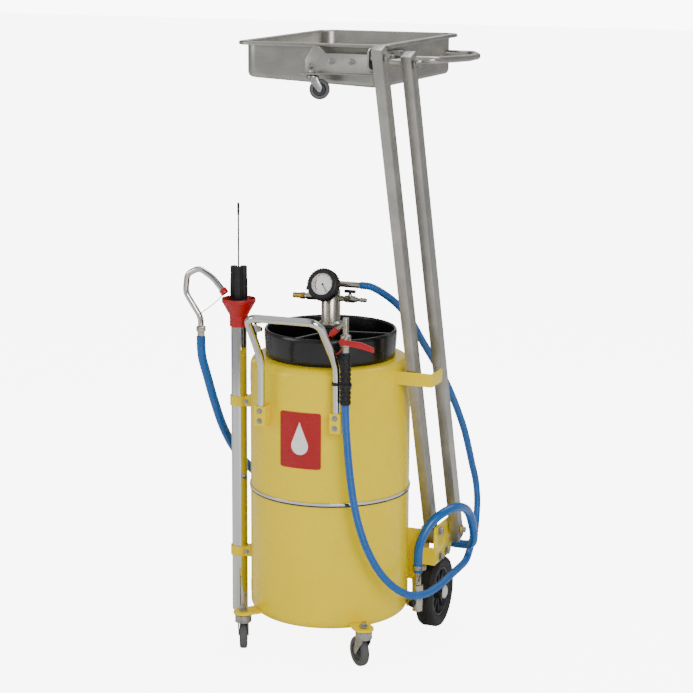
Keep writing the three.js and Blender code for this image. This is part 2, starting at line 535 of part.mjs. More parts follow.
// ---- running gear -------------------------------------------------------------------------
function addRearChassis() {
  const { x, y, radius, width, axle, clearance } = REAR_WHEEL;
  const wheelInner = x - width / 2;
  const plate = wheelInner - 5;
  const shelf = radius * 2 + 5;
  const lugInner = FRONT_ARM_X - ARM.width / 2 - BRACKET_GAP - SHEET;
  const lugOuter = FRONT_ARM_X + ARM.width / 2 + BRACKET_GAP;
  const back = TANK.radius + 30;
  const webTop = ARM_FOOT_Z - Math.hypot(ARM.foot, ARM.depth / 2) - 6;
  const [stubY, stubZ] = [ARM_FOOT_Y + REAR_ARM_DY, ARM_FOOT_Z + REAR_ARM_DZ];
  const stubEnd = REAR_ARM_X + ARM.width / 2 + 1;
  const chassis = joined(
    block(-plate, plate, TANK.radius + 0.5, back, 118, 158),
    sidePlate([[125, 80], [back, 80], [back, shelf + SHEET], [105, shelf + SHEET], [105, shelf - 40]],
        plate - SHEET, plate),
    sidePlate([[125, 80], [back, 80], [back, 160], [125, 160]], -plate, SHEET - plate),
    block(plate - SHEET, lugOuter + SHEET, 105, back, shelf, shelf + SHEET),
    block(lugInner, lugOuter + SHEET, 105, 105 + SHEET, shelf, webTop),
    block(TANK.radius * 0.75, lugInner + 1, 105, 105 + SHEET, shelf - 40,
        ARM_FOOT_Z + 8).subtract(tankSkin),
    sidePlate([[105, shelf], [170, shelf], [170, 304], [112, 304], [105, 298]], lugInner, lugInner + SHEET),
    sidePlate([[105, shelf], [back, shelf], [stubY + 24, stubZ - 12], [stubY + 24, stubZ + 14],
        [stubY + 8, 304], [112, 304],
      [105, 298]], lugOuter, lugOuter + SHEET),
    rod([lugInner, ARM_FOOT_Y, ARM_FOOT_Z], [lugOuter + SHEET + 5, ARM_FOOT_Y, ARM_FOOT_Z], ARM.pin),
    rod([lugOuter + SHEET, ARM_FOOT_Y, ARM_FOOT_Z], [lugOuter + SHEET + 5, ARM_FOOT_Y, ARM_FOOT_Z], 10, 6),
    rod([lugOuter + 1, stubY, stubZ], [stubEnd + 5, stubY, stubZ], ARM.pin),
    rod([stubEnd, stubY, stubZ], [stubEnd + 5, stubY, stubZ], 10, 6),
  );
  addNode('rear_chassis', chassis, yellow);
  const half = width / 2;
  const [hub, web, seat, shoulder] = [radius - 59.5, radius - 41.5, radius - 17.5, radius - 7.5];
  const outer = [[axle + clearance, -half], [hub, -half], [web, -18], [seat, -20], [shoulder, -half],
    [radius - 2, -16], [radius, -8], [radius, 8], [radius - 2, 16], [shoulder, half], [seat, 20],
    [web, 18], [hub, half], [axle + clearance, half], [axle + clearance, -half]];
  for (const [side, name] of [[-1, 'left'], [1, 'right']]) {
    const centre = [side * x, y, radius];
    addNode(`rear_wheel_${name}`, turned(outer, centre, [1, 0, 0], 24), tyreRubber);
    const start = side * (plate + GAP);
    const end = side * (x + width / 2 + 3);
    const pin = rod([start, y, radius], [end, y, radius], axle);
    const cap = rod([end - side * 1.5, y, radius], [end + side * 4, y, radius], axle + 5);
    addNode(`rear_axle_${name}`, pin.add(cap), zinc);
  }
}

// A swivel caster: housing and fork in one solid, the wheel in another. heading turns its trail about Z.
function addCaster(prefix, caster, heading, floor, plateBottom, plateTop) {
  const { radius, width, trail, axle, housing, stem } = caster;
  const legInner = width / 2 + 1.5;
  const legOuter = legInner + 2.5;
  const crown = floor + radius * 2 + 4;
  const place = new THREE.Matrix4().makeRotationZ(heading).setPosition(caster.x, caster.y, 0);
  const leg = [[-housing * 0.7, crown], [housing * 0.7, crown], [trail + axle + 3, floor + radius + 6],
      [trail + axle, floor + radius - 6],
    [trail - axle, floor + radius - 6], [-housing * 0.6, crown - radius * 0.3]];
  let fork = joined(
    turned([[0, crown - 3], [housing, crown - 3], [housing, plateBottom - 4], [housing - 4,
        plateBottom - GAP], [stem, plateBottom - GAP],
      [stem, plateTop + 6], [0, plateTop + 6]], [0, 0, 0], [0, 0, 1], 12),
    rod([trail, -legOuter, floor + radius], [trail, legOuter, floor + radius], axle, 12),
  );
  const nut = turned(tubeRing(stem - 1, stem + 5, plateTop + GAP, plateTop + 6), [0, 0, 0], [0, 0, 1], 6);
  fork = joined(fork, nut, frontPlate(leg, legInner, legOuter), frontPlate(leg, -legOuter, -legInner));
  const wheel = turned([[axle + 0.4, -width / 2], [radius - 4, -width / 2], [radius, -width / 2 + 4],
      [radius, width / 2 - 4],
    [radius - 4, width / 2], [axle + 0.4, width / 2], [axle + 0.4, -width / 2]], [trail, 0,
        floor + radius], [0, 1, 0], 18);
  addNode(`${prefix}_fork`, fork.transform(place.elements), zinc);
  addNode(`${prefix}_wheel`, wheel.transform(place.elements), greyRubber);
}

function addFrontCasters() {
  const { x, y, stem } = CASTER;
  for (const [side, name, heading] of [[-1, 'left', 112], [1, 'right', 139]]) {
    const at = [side * x, y];
    const middle = Math.atan2(y, side * x);
    const reach = Math.hypot(x, y);
    const arm = new THREE.BoxGeometry(reach - TANK.radius + 30, LUG.radius * 2, LUG.top - LUG.bottom);
    arm.translate((reach + TANK.radius - 30) / 2, 0, (LUG.top + LUG.bottom) / 2).rotateZ(middle);
    const lug = joined(solidOf(arm), rod([...at, LUG.bottom], [...at, LUG.top], LUG.radius, 24));
    const hole = rod([...at, LUG.bottom - 1], [...at, LUG.top + 1], stem + GAP * 2);
    addNode(`caster_lug_${name}`, lug.subtract(tankSkin).subtract(hole), yellow);
    const caster = { ...CASTER, x: side * x };
    addCaster(`front_caster_${name}`, caster, THREE.MathUtils.degToRad(heading), 0, LUG.bottom, LUG.top);
  }
}

// ---- folding arms and pan -----------------------------------------------------------------
const armSpan = Math.hypot(ARM_HEAD_Y - ARM_FOOT_Y, ARM_HEAD_Z - ARM_FOOT_Z);
const armLean = Math.atan2(ARM_FOOT_Y - ARM_HEAD_Y, ARM_HEAD_Z - ARM_FOOT_Z);

function addArm(name, x, footY, footZ) {
  const { width, depth, wall, foot, head, bore } = ARM;
  const [w, d] = [width / 2, depth / 2];
  const outer = block(-w, w, -d, d, -foot, armSpan + head);
  const inner = block(wall - w, w - wall, wall - d, d - wall, -foot - 1, armSpan + head + 1);
  let arm = outer.subtract(inner);
  for (const z of [0, armSpan]) {
    arm = arm.subtract(rod([-width, 0, z], [width, 0, z], bore, 20));
  }
  const place = new THREE.Matrix4().makeRotationX(armLean).setPosition(x, footY, footZ);
  addNode(name, arm.transform(place.elements), stainless);
}

function addArmRest() {
  const { z, height, y, length, clearance } = REST;
  const outside = REAR_ARM_X + ARM.width / 2 + clearance;
  const [low, high] = [z - height / 2, z + height / 2];
  const front = block(TANK.radius * 0.9, outside + SHEET, y, y + SHEET, low, high);
  const side = block(outside, outside + SHEET, y, y + length, low, high);
  addNode('arm_rest_strap', front.add(side).subtract(tankSkin), yellow);
}

function addCradle() {
  const c = CRADLE;
  const [rearY, rearZ] = [ARM_HEAD_Y + REAR_ARM_DY, ARM_HEAD_Z + REAR_ARM_DZ];
  const under = PAN.rimTop - PAN.rimHeight - 6;
  const wallX = PAN.x + PAN.width / 2 - PAN.rim + GAP;
  const wallY = PAN.y - PAN.length / 2 + PAN.rim - GAP;
  const outer = c.plateX + c.sheet;
  const frontArmEnd = FRONT_ARM_X + ARM.width / 2 + 1;
  const rearArmEnd = REAR_ARM_X + ARM.width / 2 + 1;
  const frontArmStart = FRONT_ARM_X - ARM.width / 2 - 1;
  const rearArmStart = REAR_ARM_X - ARM.width / 2 - 1;
  const { x, y, stem, housing } = PAN_CASTER;
  let cradle = joined(
    sidePlate([[ARM_HEAD_Y - 22, ARM_HEAD_Z - 24], [ARM_HEAD_Y - 22, ARM_HEAD_Z + 14],
        [ARM_HEAD_Y - 12, ARM_HEAD_Z + 21], [c.frontY, ARM_HEAD_Z + 21], [c.frontY + 12, under],
        [-60, under - 4], [-60, under - 22],
      [-160, c.frontBottom], [c.frontY, c.frontBottom]], c.plateX, outer),
    frontPlate([[c.left, c.frontBottom], [c.plateX + 1, c.frontBottom], [c.plateX + 1, c.frontTop],
        [x + 26, c.frontTop],
      [x + 6, c.frontTop + 16], [x - 8, c.frontTop + 16], [c.left, c.frontTop - 16]], c.frontY,
          c.frontY + 3),
    block(x - housing - 8, x + housing + 10, c.frontY - c.shelf, c.frontY + 1, c.frontBottom - 3,
        c.frontBottom),
    block(x + housing, c.plateX + 1, c.frontY - c.lip, c.frontY + 1, c.frontBottom - 3, c.frontBottom),
    block(x + 36, x + 60, c.frontY + 1, wallY, c.frontBottom + 6, c.frontTop - 6),
    block(wallX, c.plateX + 1, -180, -150, c.frontBottom + 8, under - 8),
    block(wallX, c.plateX + 1, -110, -80, c.frontBottom + 26, under - 8),
    rod([outer - 1, ARM_HEAD_Y, ARM_HEAD_Z], [frontArmEnd + 5, ARM_HEAD_Y, ARM_HEAD_Z], ARM.pin),
    rod([outer - 1, ARM_HEAD_Y, ARM_HEAD_Z], [frontArmStart, ARM_HEAD_Y, ARM_HEAD_Z], 10),
    rod([frontArmEnd, ARM_HEAD_Y, ARM_HEAD_Z], [frontArmEnd + 5, ARM_HEAD_Y, ARM_HEAD_Z], 10, 6),
    rod([outer - 1, rearY, rearZ], [rearArmEnd + 5, rearY, rearZ], ARM.pin),
    rod([outer - 1, rearY, rearZ], [rearArmStart, rearY, rearZ], 10),
    rod([rearArmEnd, rearY, rearZ], [rearArmEnd + 5, rearY, rearZ], 10, 6),
  );
  cradle = cradle.subtract(rod([x, y, c.frontBottom - 10], [x, y, c.frontBottom + 10], stem + GAP * 2));
  addNode('pan_cradle', cradle, stainless);
  const floor = c.frontBottom - 3 - PAN_CASTER.radius * 2 - 11;
  addCaster('pan_caster', PAN_CASTER, THREE.MathUtils.degToRad(20), floor, c.frontBottom - 3,
      c.frontBottom);
}

function addPan() {
  const p = PAN;
  const b = PAN_BODY;
  const [wallWidth, wallLength] = [p.width - p.rim * 2, p.length - p.rim * 2];
  const low = Math.min(b.lowLeft, b.lowRight) - 1;
  const wedge = (lift, top) => frontPlate([[p.x - p.width, b.lowLeft + lift + (b.lowLeft - b.lowRight) / 2],
    [p.x + p.width, b.lowRight + lift - (b.lowLeft - b.lowRight) / 2], [p.x + p.width, top],
        [p.x - p.width, top]], p.y - p.length, p.y + p.length);
  const outside = roundedRectangle(p.x, p.y, wallWidth, wallLength, b.corner, low,
      p.rimTop - 2).intersect(wedge(0, p.rimTop + 50));
  const inside = roundedRectangle(p.x, p.y, wallWidth - b.sheet * 2, wallLength - b.sheet * 2,
      b.corner - b.sheet, low, p.rimTop + 5)
    .intersect(wedge(b.sheet, p.rimTop + 50));
  const rim = roundedRectangle(p.x, p.y, p.width, p.length, b.corner + p.rim - 8,
      p.rimTop - p.rimHeight, p.rimTop)
    .subtract(roundedRectangle(p.x, p.y, wallWidth - b.sheet * 2, wallLength - b.sheet * 2,
        b.corner - b.sheet, low, p.rimTop + 5))
    .subtract(roundedRectangle(p.x, p.y, p.width - 4, p.length - 4, b.corner + p.rim - 10, low,
        p.rimTop - 2)
      .subtract(roundedRectangle(p.x, p.y, wallWidth, wallLength, b.corner, low - 1, p.rimTop)));
  addNode('drain_pan', outside.subtract(inside).add(rim), stainless);
  const wallX = p.x + wallWidth / 2 + GAP;
  const plateX = CRADLE.plateX + CRADLE.sheet + GAP;
  const corners = [[plateX, -142, ARM_HEAD_Z - 14], [326, -142, ARM_HEAD_Z - 14],
      [331, 100, ARM_HEAD_Z - 24], [320, 214, ARM_HEAD_Z - 26], [282,
      292, ARM_HEAD_Z - 26], [wallX, 292, ARM_HEAD_Z - 26]];
  addNode('pan_handle', bentTube(corners, PAN_HANDLE.radius, PAN_HANDLE.bend, 28, 8), stainless);
}

addTank();
addTray();
addPushHandle();
addProbeHolder();
addLevelGauge();
addVacuumHead();
addValves();
addSuctionGun();
addOutlet();
addSpout();
addRearChassis();
addFrontCasters();
addArm('front_arm', FRONT_ARM_X, ARM_FOOT_Y, ARM_FOOT_Z);
addArm('rear_arm', REAR_ARM_X, ARM_FOOT_Y + REAR_ARM_DY, ARM_FOOT_Z + REAR_ARM_DZ);
addArmRest();
addCradle();
addPan();
addHoses();

// The origin is the middle of the footprint of everything but the free hoses, at floor level.
const extent = new THREE.Box3();
for (const node of unit.children) {
  if (!cords.includes(node)) {
    extent.expandByObject(node, true);
  }
}
unit.position.set(-(extent.min.x + extent.max.x) / 2, -(extent.min.y + extent.max.y) / 2, -extent.min.z);

export default unit;
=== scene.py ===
"""Finishes the packed waste-oil drainer: fine meshes, procedural materials, camera and studio."""
import json
import math

import bmesh
import bpy
from mathutils import Matrix, Vector


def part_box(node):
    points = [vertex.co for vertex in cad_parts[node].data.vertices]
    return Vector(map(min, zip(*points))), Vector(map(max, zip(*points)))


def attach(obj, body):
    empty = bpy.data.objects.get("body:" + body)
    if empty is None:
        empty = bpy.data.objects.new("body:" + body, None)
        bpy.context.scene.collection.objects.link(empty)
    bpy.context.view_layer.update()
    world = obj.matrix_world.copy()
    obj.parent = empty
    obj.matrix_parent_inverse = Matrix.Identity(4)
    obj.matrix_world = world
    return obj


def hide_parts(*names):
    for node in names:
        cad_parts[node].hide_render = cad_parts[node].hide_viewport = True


bl_info = {
    "name": "Waste-oil drainer",
    "version": (1, 0, 0),
    "blender": (4, 5, 0),
    "location": "View3D > Sidebar > Drainer",
    "description": "Builds a wheeled waste-oil drainer around its packed frame",
    "category": "Object",
}

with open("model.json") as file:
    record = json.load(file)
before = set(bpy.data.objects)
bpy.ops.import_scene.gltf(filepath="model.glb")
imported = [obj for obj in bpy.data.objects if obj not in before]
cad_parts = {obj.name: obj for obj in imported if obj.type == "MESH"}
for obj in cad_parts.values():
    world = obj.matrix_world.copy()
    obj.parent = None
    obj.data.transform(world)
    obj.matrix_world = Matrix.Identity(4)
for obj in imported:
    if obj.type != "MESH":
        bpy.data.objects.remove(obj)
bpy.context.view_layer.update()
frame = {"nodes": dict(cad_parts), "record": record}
MM = 0.001


def middle(node):
    """Middle of a frame node's box, in metres."""
    low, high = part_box(node)
    return (Vector(low) + Vector(high)) / 2


AXIS = middle("tank_shell")
TANK_LOW, TANK_HIGH = (Vector(corner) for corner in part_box("tank_shell"))
TANK_RADIUS = (TANK_HIGH.x - TANK_LOW.x) / 2 / MM
TANK_TOP = TANK_HIGH.z / MM
TANK_BOTTOM = TANK_LOW.z / MM


def at(x, y, z):
    """A point given in millimetres from the tank's axis and the floor, in metres."""
    return Vector((AXIS.x + x * MM, AXIS.y + y * MM, z * MM))


def linear(hex_colour):
    """sRGB hex to linear RGBA."""
    channels = [int(hex_colour[i : i + 2], 16) / 255 for i in (1, 3, 5)]
    return tuple(c / 12.92 if c <= 0.04045 else ((c + 0.055) / 1.055) ** 2.4 for c in channels) + (1.0,)


# ---- settings -----------------------------------------------------------------------------
def colour(name, hex_colour, description):
    return bpy.props.FloatVectorProperty(
        name=name, description=description, subtype="COLOR", size=4, min=0, max=1, default=linear(hex_colour)
    )


def length_mm(name, value, description):
    """A length whose default is given in millimetres and kept in metres, as Blender shows lengths."""
    return bpy.props.FloatProperty(
        name=name, description=description, default=value * MM, min=0.01 * MM, precision=4,
        subtype="DISTANCE", unit="LENGTH",
    )


def whole_number(name, value, least, description):
    return bpy.props.IntProperty(name=name, description=description, default=value, min=least)


class DRAINER_PG_colours(bpy.types.PropertyGroup):
    """Colours a buyer could order the unit in."""

    enamel: colour("Enamel", "#F4D600", "Powder coat of the tank and brackets")
    hose: colour("Hose", "#0A5AA6", "PVC of both hoses")
    trim: colour("Trim", "#B00A14", "Funnel, lever and caps")
    panel: colour("Panel", "#A5060E", "Ground of the front panel")


class DRAINER_PG_sizes(bpy.types.PropertyGroup):
    """Sizes and counts that the frame leaves open."""

    rib_pitch: length_mm("Rib pitch", 6.0, "Spacing of the suction hose's spiral rib")
    rib_depth: length_mm("Rib depth", 1.1, "Height of the spiral rib")
    bolt: length_mm("Bolt", 10.0, "Width across the cradle's bolt heads")
    boot_teeth: whole_number("Boot teeth", 34, 8, "Ribs round the gauge boot")
    spokes: whole_number("Spokes", 10, 3, "Spokes of a rear wheel")
    tray_rim: length_mm("Tray rim", 4.0, "Rounding of the tray's rim")


def colours():
    return bpy.context.scene.drainer_colours


def sizes():
    return bpy.context.scene.drainer_sizes


def size_mm(name):
    """One of the lengths in millimetres, free of the property's 32-bit rounding."""
    return round(getattr(sizes(), name) / MM, 4)


# ---- materials ----------------------------------------------------------------------------
def add_node(tree, kind, links=None, **settings):
    """Adds a node, sets its properties and input values, and links its inputs."""
    node = tree.nodes.new(kind)
    for key, value in settings.items():
        if hasattr(node, key):
            setattr(node, key, value)
        else:
            node.inputs[key.replace("_", " ")].default_value = value
    for socket, source in (links or {}).items():
        tree.links.new(source, node.inputs[socket])
    return node


def base_material(name, base, roughness, metallic=0.0, **shader):
    """A principled material, with its tree, shader and object coordinates."""
    material = bpy.data.materials.new(name)
    material.use_nodes = True
    tree = material.node_tree
    bsdf = tree.nodes["Principled BSDF"]
    bsdf.inputs["Base Color"].default_value = base
    bsdf.inputs["Roughness"].default_value = roughness
    bsdf.inputs["Metallic"].default_value = metallic
    for key, value in shader.items():
        bsdf.inputs[key.replace("_", " ")].default_value = value
    material.diffuse_color = base
    where = add_node(tree, "ShaderNodeTexCoord").outputs["Object"]
    return material, tree, bsdf, where


def noise(tree, where, scale_mm, detail=3.0, rough=0.5, stretch=None):
    """Noise whose grain is scale_mm across, stretched by three factors if given."""
    if stretch:
        where = add_node(tree, "ShaderNodeMapping", {"Vector": where}, Scale=stretch).outputs["Vector"]
    return add_node(
        tree, "ShaderNodeTexNoise", {"Vector": where}, Scale=1 / (scale_mm * MM), Detail=detail, Roughness=rough
    ).outputs["Fac"]


def vary_roughness(tree, bsdf, factor, low, high):
    ramp = add_node(
        tree, "ShaderNodeMapRange", {"Value": factor}, From_Min=0.3, From_Max=0.7, To_Min=low, To_Max=high
    )
    tree.links.new(ramp.outputs["Result"], bsdf.inputs["Roughness"])


def vary_colour(tree, bsdf, factor, dark, light):
    ramp = add_node(tree, "ShaderNodeValToRGB", {"Fac": factor})
    ramp.color_ramp.elements[0].position = 0.35
    ramp.color_ramp.elements[1].position = 0.65
    ramp.color_ramp.elements[0].color = dark
    ramp.color_ramp.elements[1].color = light
    tree.links.new(ramp.outputs["Color"], bsdf.inputs["Base Color"])


def bump(tree, bsdf, factor, depth_mm, strength=0.5):
    node = add_node(tree, "ShaderNodeBump", {"Height": factor}, Strength=strength, Distance=depth_mm * MM)
    tree.links.new(node.outputs["Normal"], bsdf.inputs["Normal"])


def shaded(rgba, factor):
    return tuple(min(1.0, c * factor) for c in rgba[:3]) + (1.0,)


def powder_coat():
    """Gloss powder coat on sheet steel: a faint orange peel 4 mm across breaks up the reflections."""
    base = tuple(colours().enamel)
    material, tree, bsdf, where = base_material(
        "enamel_powder_coat", base, 0.24, Coat_Weight=0.08, Specular_IOR_Level=0.22
    )
    vary_colour(tree, bsdf, noise(tree, where, 90, 2), shaded(base, 0.97), base)
    vary_roughness(tree, bsdf, noise(tree, where, 25), 0.18, 0.30)
    bump(tree, bsdf, noise(tree, where, 4, 1), 0.05, 0.35)
    return material


def chrome_plate():
    """Polished chrome on bent tube: a mirror with faint draw marks along the bend."""
    base = linear("#D2D2D0")
    material, tree, bsdf, where = base_material("chrome_plated_tube", base, 0.08, 1.0)
    vary_roughness(tree, bsdf, noise(tree, where, 12), 0.05, 0.14)
    bump(tree, bsdf, noise(tree, where, 1.5, 2), 0.01, 0.15)
    return material


def nickel_plate():
    """Nickel-plated brass fittings: warm grey metal, softly polished after turning."""
    base = linear("#B9B4A6")
    material, tree, bsdf, where = base_material("nickel_plated_brass", base, 0.22, 1.0)
    vary_colour(tree, bsdf, noise(tree, where, 18), shaded(base, 0.92), base)
    vary_roughness(tree, bsdf, noise(tree, where, 5), 0.16, 0.32)
    bump(tree, bsdf, noise(tree, where, 0.8, 2), 0.01, 0.08)
    return material


def turned_brass():
    """Bare turned brass: fine rings left by the lathe show as a soft satin."""
    base = linear("#BE9848")
    material, tree, bsdf, where = base_material("turned_brass", base, 0.3, 1.0)
    vary_colour(tree, bsdf, noise(tree, where, 6), shaded(base, 0.75), base)
    bump(tree, bsdf, noise(tree, where, 0.7, 2, stretch=(6, 1, 1)), 0.03, 0.3)
    return material


def brushed_stainless(name="brushed_stainless", stretch=(1, 1, 0.03), base_hex="#B4B2AC"):
    """Brushed stainless: scratches about 1.6 mm wide and long along the grain spread the highlights."""
    base = linear(base_hex)
    material, tree, bsdf, where = base_material(name, base, 0.34, 1.0)
    grain = noise(tree, where, 1.6, 4, 0.6, stretch)
    vary_colour(tree, bsdf, noise(tree, where, 70, 3), shaded(base, 0.80), base)
    vary_roughness(tree, bsdf, grain, 0.26, 0.46)
    bump(tree, bsdf, grain, 0.04, 0.25)
    return material


def bright_zinc():
    """Bright zinc plate on pressed steel, a little cloudy."""
    base = linear("#A9ABAA")
    material, tree, bsdf, where = base_material("bright_zinc", base, 0.3, 1.0)
    vary_colour(tree, bsdf, noise(tree, where, 9), shaded(base, 0.78), base)
    vary_roughness(tree, bsdf, noise(tree, where, 4), 0.22, 0.42)
    return material


def moulded(name, base, low, high, grain_mm=1.2, depth_mm=0.03):
    """Moulded plastic or rubber with a fine, shallow mould texture."""
    material, tree, bsdf, where = base_material(name, base, (low + high) / 2)
    vary_colour(tree, bsdf, noise(tree, where, 40), shaded(base, 0.93), base)
    vary_roughness(tree, bsdf, noise(tree, where, 60, 2), low, high)
    bump(tree, bsdf, noise(tree, where, grain_mm, 1), depth_mm * 0.5, 0.15)
    return material


def clear_tube():
    """Clear acrylic sight tube with a trace of oil haze."""
    base = linear("#DDE3DA")
    material, tree, bsdf, where = base_material("clear_acrylic", base, 0.12, Transmission_Weight=0.7, IOR=1.49)
    vary_roughness(tree, bsdf, noise(tree, where, 20), 0.08, 0.2)
    return material


finishes = {}


def make_finishes():
    """Every finish of the unit, by the name its pieces use."""
    palette = colours()
    finishes.update(
        enamel=powder_coat(),
        chrome=chrome_plate(),
        nickel=nickel_plate(),
        brass=turned_brass(),
        stainless=brushed_stainless(),
        pan_steel=brushed_stainless("brushed_pan_sheet", (0.05, 1, 1), "#ABA9A3"),
        zinc=bright_zinc(),
        abs_black=moulded("moulded_abs_black", linear("#08080A"), 0.18, 0.32, 1.5),
        rubber_black=moulded("nitrile_rubber_black", linear("#070708"), 0.45, 0.65, 1.0, 0.05),
        red=moulded("moulded_polypropylene_red", tuple(palette.trim), 0.28, 0.42),
        smooth_hose=moulded("smooth_pvc_hose", tuple(palette.hose), 0.16, 0.26, 3.0, 0.02),
        spiral_hose=moulded("spiral_pvc_hose", tuple(palette.hose), 0.28, 0.40, 0.9, 0.04),
        caster_rubber=moulded("grey_thermoplastic_rubber", linear("#525355"), 0.55, 0.75, 1.0, 0.05),
        caster_core=moulded("caster_core_polyamide", linear("#26272A"), 0.4, 0.55),
        tyre=moulded("tyre_rubber", linear("#161617"), 0.6, 0.8, 1.4, 0.08),
        rim_black=moulded("rim_black_enamel", linear("#101114"), 0.3, 0.45),
        hub_white=moulded("hub_cap_white_nylon", linear("#D9D8D2"), 0.35, 0.5),
        dial=moulded("dial_white_enamel", linear("#F2F2EE"), 0.35, 0.45, 2.0, 0.005),
        ink_black=moulded("dial_ink_black", linear("#141414"), 0.5, 0.6, 2.0, 0.005),
        panel_red=moulded("panel_red_enamel", tuple(palette.panel), 0.25, 0.35, 3.0, 0.01),
        panel_white=moulded("panel_white_enamel", linear("#F1F0EA"), 0.25, 0.35, 3.0, 0.01),
        acrylic=clear_tube(),
    )


# ---- meshes -------------------------------------------------------------------------------
def finish_mesh(name, bm, material, body, replaced=(), slot=None, sharp=38, clean=True):
    """Turns a bmesh in metres into a finished piece riding on a body."""
    if clean:
        bmesh.ops.remove_doubles(bm, verts=bm.verts, dist=1e-6)
        bmesh.ops.dissolve_degenerate(bm, edges=bm.edges, dist=1e-7)
        bmesh.ops.recalc_face_normals(bm, faces=bm.faces)
    mesh = bpy.data.meshes.new(name)
    bm.to_mesh(mesh)
    bm.free()
    mesh.shade_smooth()
    mesh.set_sharp_from_angle(angle=math.radians(sharp))
    mesh.materials.append(finishes[material])
    piece = bpy.data.objects.new(name, mesh)
    bpy.context.scene.collection.objects.link(piece)
    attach(piece, body)
    if replaced:
        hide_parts(*replaced)
    return piece


def soften(profile, radius, steps=4):
    """Rounds the corners of a profile; a profile that ends where it starts is rounded all round."""
    closed = math.dist(profile[0], profile[-1]) < 1e-9
    points = [Vector(p) for p in (profile[:-1] if closed else profile)]
    count = len(points)
    rounded = []
    for i, corner in enumerate(points):
        if not closed and i in (0, count - 1):
            rounded.append(tuple(corner))
            continue
        back = points[i - 1] - corner
        ahead = points[(i + 1) % count] - corner
        reach = min(radius, back.length * 0.49, ahead.length * 0.49)
        start = corner + back.normalized() * reach
        end = corner + ahead.normalized() * reach
        for step in range(steps + 1):
            t = step / steps
            rounded.append(tuple(start * (1 - t) ** 2 + corner * (2 * t * (1 - t)) + end * t * t))
    if closed:
        rounded.append(rounded[0])
    return rounded


def turn_to(direction):
    return Vector((0, 0, 1)).rotation_difference(Vector(direction).normalized()).to_matrix()


def skin(bm, rings):
    """Joins each ring of vertices to the next with quads."""
    for low, high in zip(rings, rings[1:]):
        for i in range(len(low)):
            j = (i + 1) % len(low)
            bm.faces.new((low[i], low[j], high[j], high[i]))


def turned_into(bm, profile, origin, direction=(0, 0, 1), segments=64):
    """Adds a turned solid to a bmesh: profile of (radius, height) in mm from origin along direction."""
    turn = turn_to(direction)
    base = Vector(origin)
    rings = []
    for radius, height in profile:
        ring = []
        for i in range(segments):
            angle = 2 * math.pi * i / segments
            point = Vector((radius * math.cos(angle), radius * math.sin(angle), height))
            ring.append(bm.verts.new(at(*(base + turn @ point))))
        rings.append(ring)
    skin(bm, rings)


def turned(name, profile, origin, direction, material, body, segments=64, **extra):
    bm = bmesh.new()
    turned_into(bm, profile, origin, direction, segments)
    return finish_mesh(name, bm, material, body, **extra)


def bent_path(corners, bend, arc_steps=10, straight_step=12.0):
    """Points along straight runs whose corners are rounded over the bend length, in mm."""
    points = [Vector(c) for c in corners]
    path = []

    def straight(start, end):
        count = max(1, round((end - start).length / straight_step))
        path.extend(start.lerp(end, i / count) for i in range(count))

    start = points[0]
    for before, corner, after in zip(points, points[1:], points[2:]):
        back = corner + (before - corner).normalized() * bend
        ahead = corner + (after - corner).normalized() * bend
        straight(start, back)
        for i in range(arc_steps):
            t = i / arc_steps
            path.append(back * (1 - t) ** 2 + corner * (2 * t * (1 - t)) + ahead * t * t)
        start = ahead
    straight(start, points[-1])
    path.append(points[-1])
    return path


def smooth_path(route, step):
    """Centripetal spline through a route's points, resampled about every step mm."""
    points = [Vector(p) for p in route]
    points = [points[0] * 2 - points[1]] + points + [points[-1] * 2 - points[-2]]
    dense = []
    for p0, p1, p2, p3 in zip(points, points[1:], points[2:], points[3:]):
        d0 = (p1 - p0).length ** 0.5
        d1 = (p2 - p1).length ** 0.5
        d2 = (p3 - p2).length ** 0.5
        t1 = ((p1 - p0) / d0 - (p2 - p0) / (d0 + d1) + (p2 - p1) / d1) * d1
        t2 = ((p2 - p1) / d1 - (p3 - p1) / (d1 + d2) + (p3 - p2) / d2) * d1
        for i in range(24):
            t = i / 24
            dense.append(
                p1 * (2 * t**3 - 3 * t**2 + 1)
                + t1 * (t**3 - 2 * t**2 + t)
                + p2 * (3 * t**2 - 2 * t**3)
                + t2 * (t**3 - t**2)
            )
    dense.append(points[-2])
    runs = [0.0]
    for a, b in zip(dense, dense[1:]):
        runs.append(runs[-1] + (b - a).length)
    count = max(2, round(runs[-1] / step))
    path, k = [], 0
    for i in range(count + 1):
        want = runs[-1] * i / count
        while k < len(runs) - 2 and runs[k + 1] < want:
            k += 1
        part = (want - runs[k]) / max(1e-9, runs[k + 1] - runs[k])
        path.append(dense[k].lerp(dense[k + 1], min(1, part)))
    return path


def swept_into(bm, path, radius, sides=24, rib=None):
    """Adds a round tube along a path in mm. rib gives extra radius from arc length and angle."""
    tangents = []
    for i in range(len(path)):
        tangents.append((path[min(i + 1, len(path) - 1)] - path[max(i - 1, 0)]).normalized())
    normal = tangents[0].orthogonal().normalized()
    rings, run = [], 0.0
    for i, (point, tangent) in enumerate(zip(path, tangents)):
        normal = (normal - tangent * normal.dot(tangent)).normalized()
        side = tangent.cross(normal)
        if i:
            run += (point - path[i - 1]).length
        ring = []
        for k in range(sides):
            angle = 2 * math.pi * k / sides
            reach = radius + (rib(run, angle) if rib else 0.0)
            ring.append(bm.verts.new(at(*(point + (normal * math.cos(angle) + side * math.sin(angle)) * reach))))
        rings.append(ring)
    skin(bm, rings)
    bm.faces.new(list(reversed(rings[0])))
    bm.faces.new(rings[-1])


def swept(name, path, radius, material, body, sides=24, rib=None, **extra):
    bm = bmesh.new()
    swept_into(bm, path, radius, sides, rib)
    return finish_mesh(name, bm, material, body, **extra)


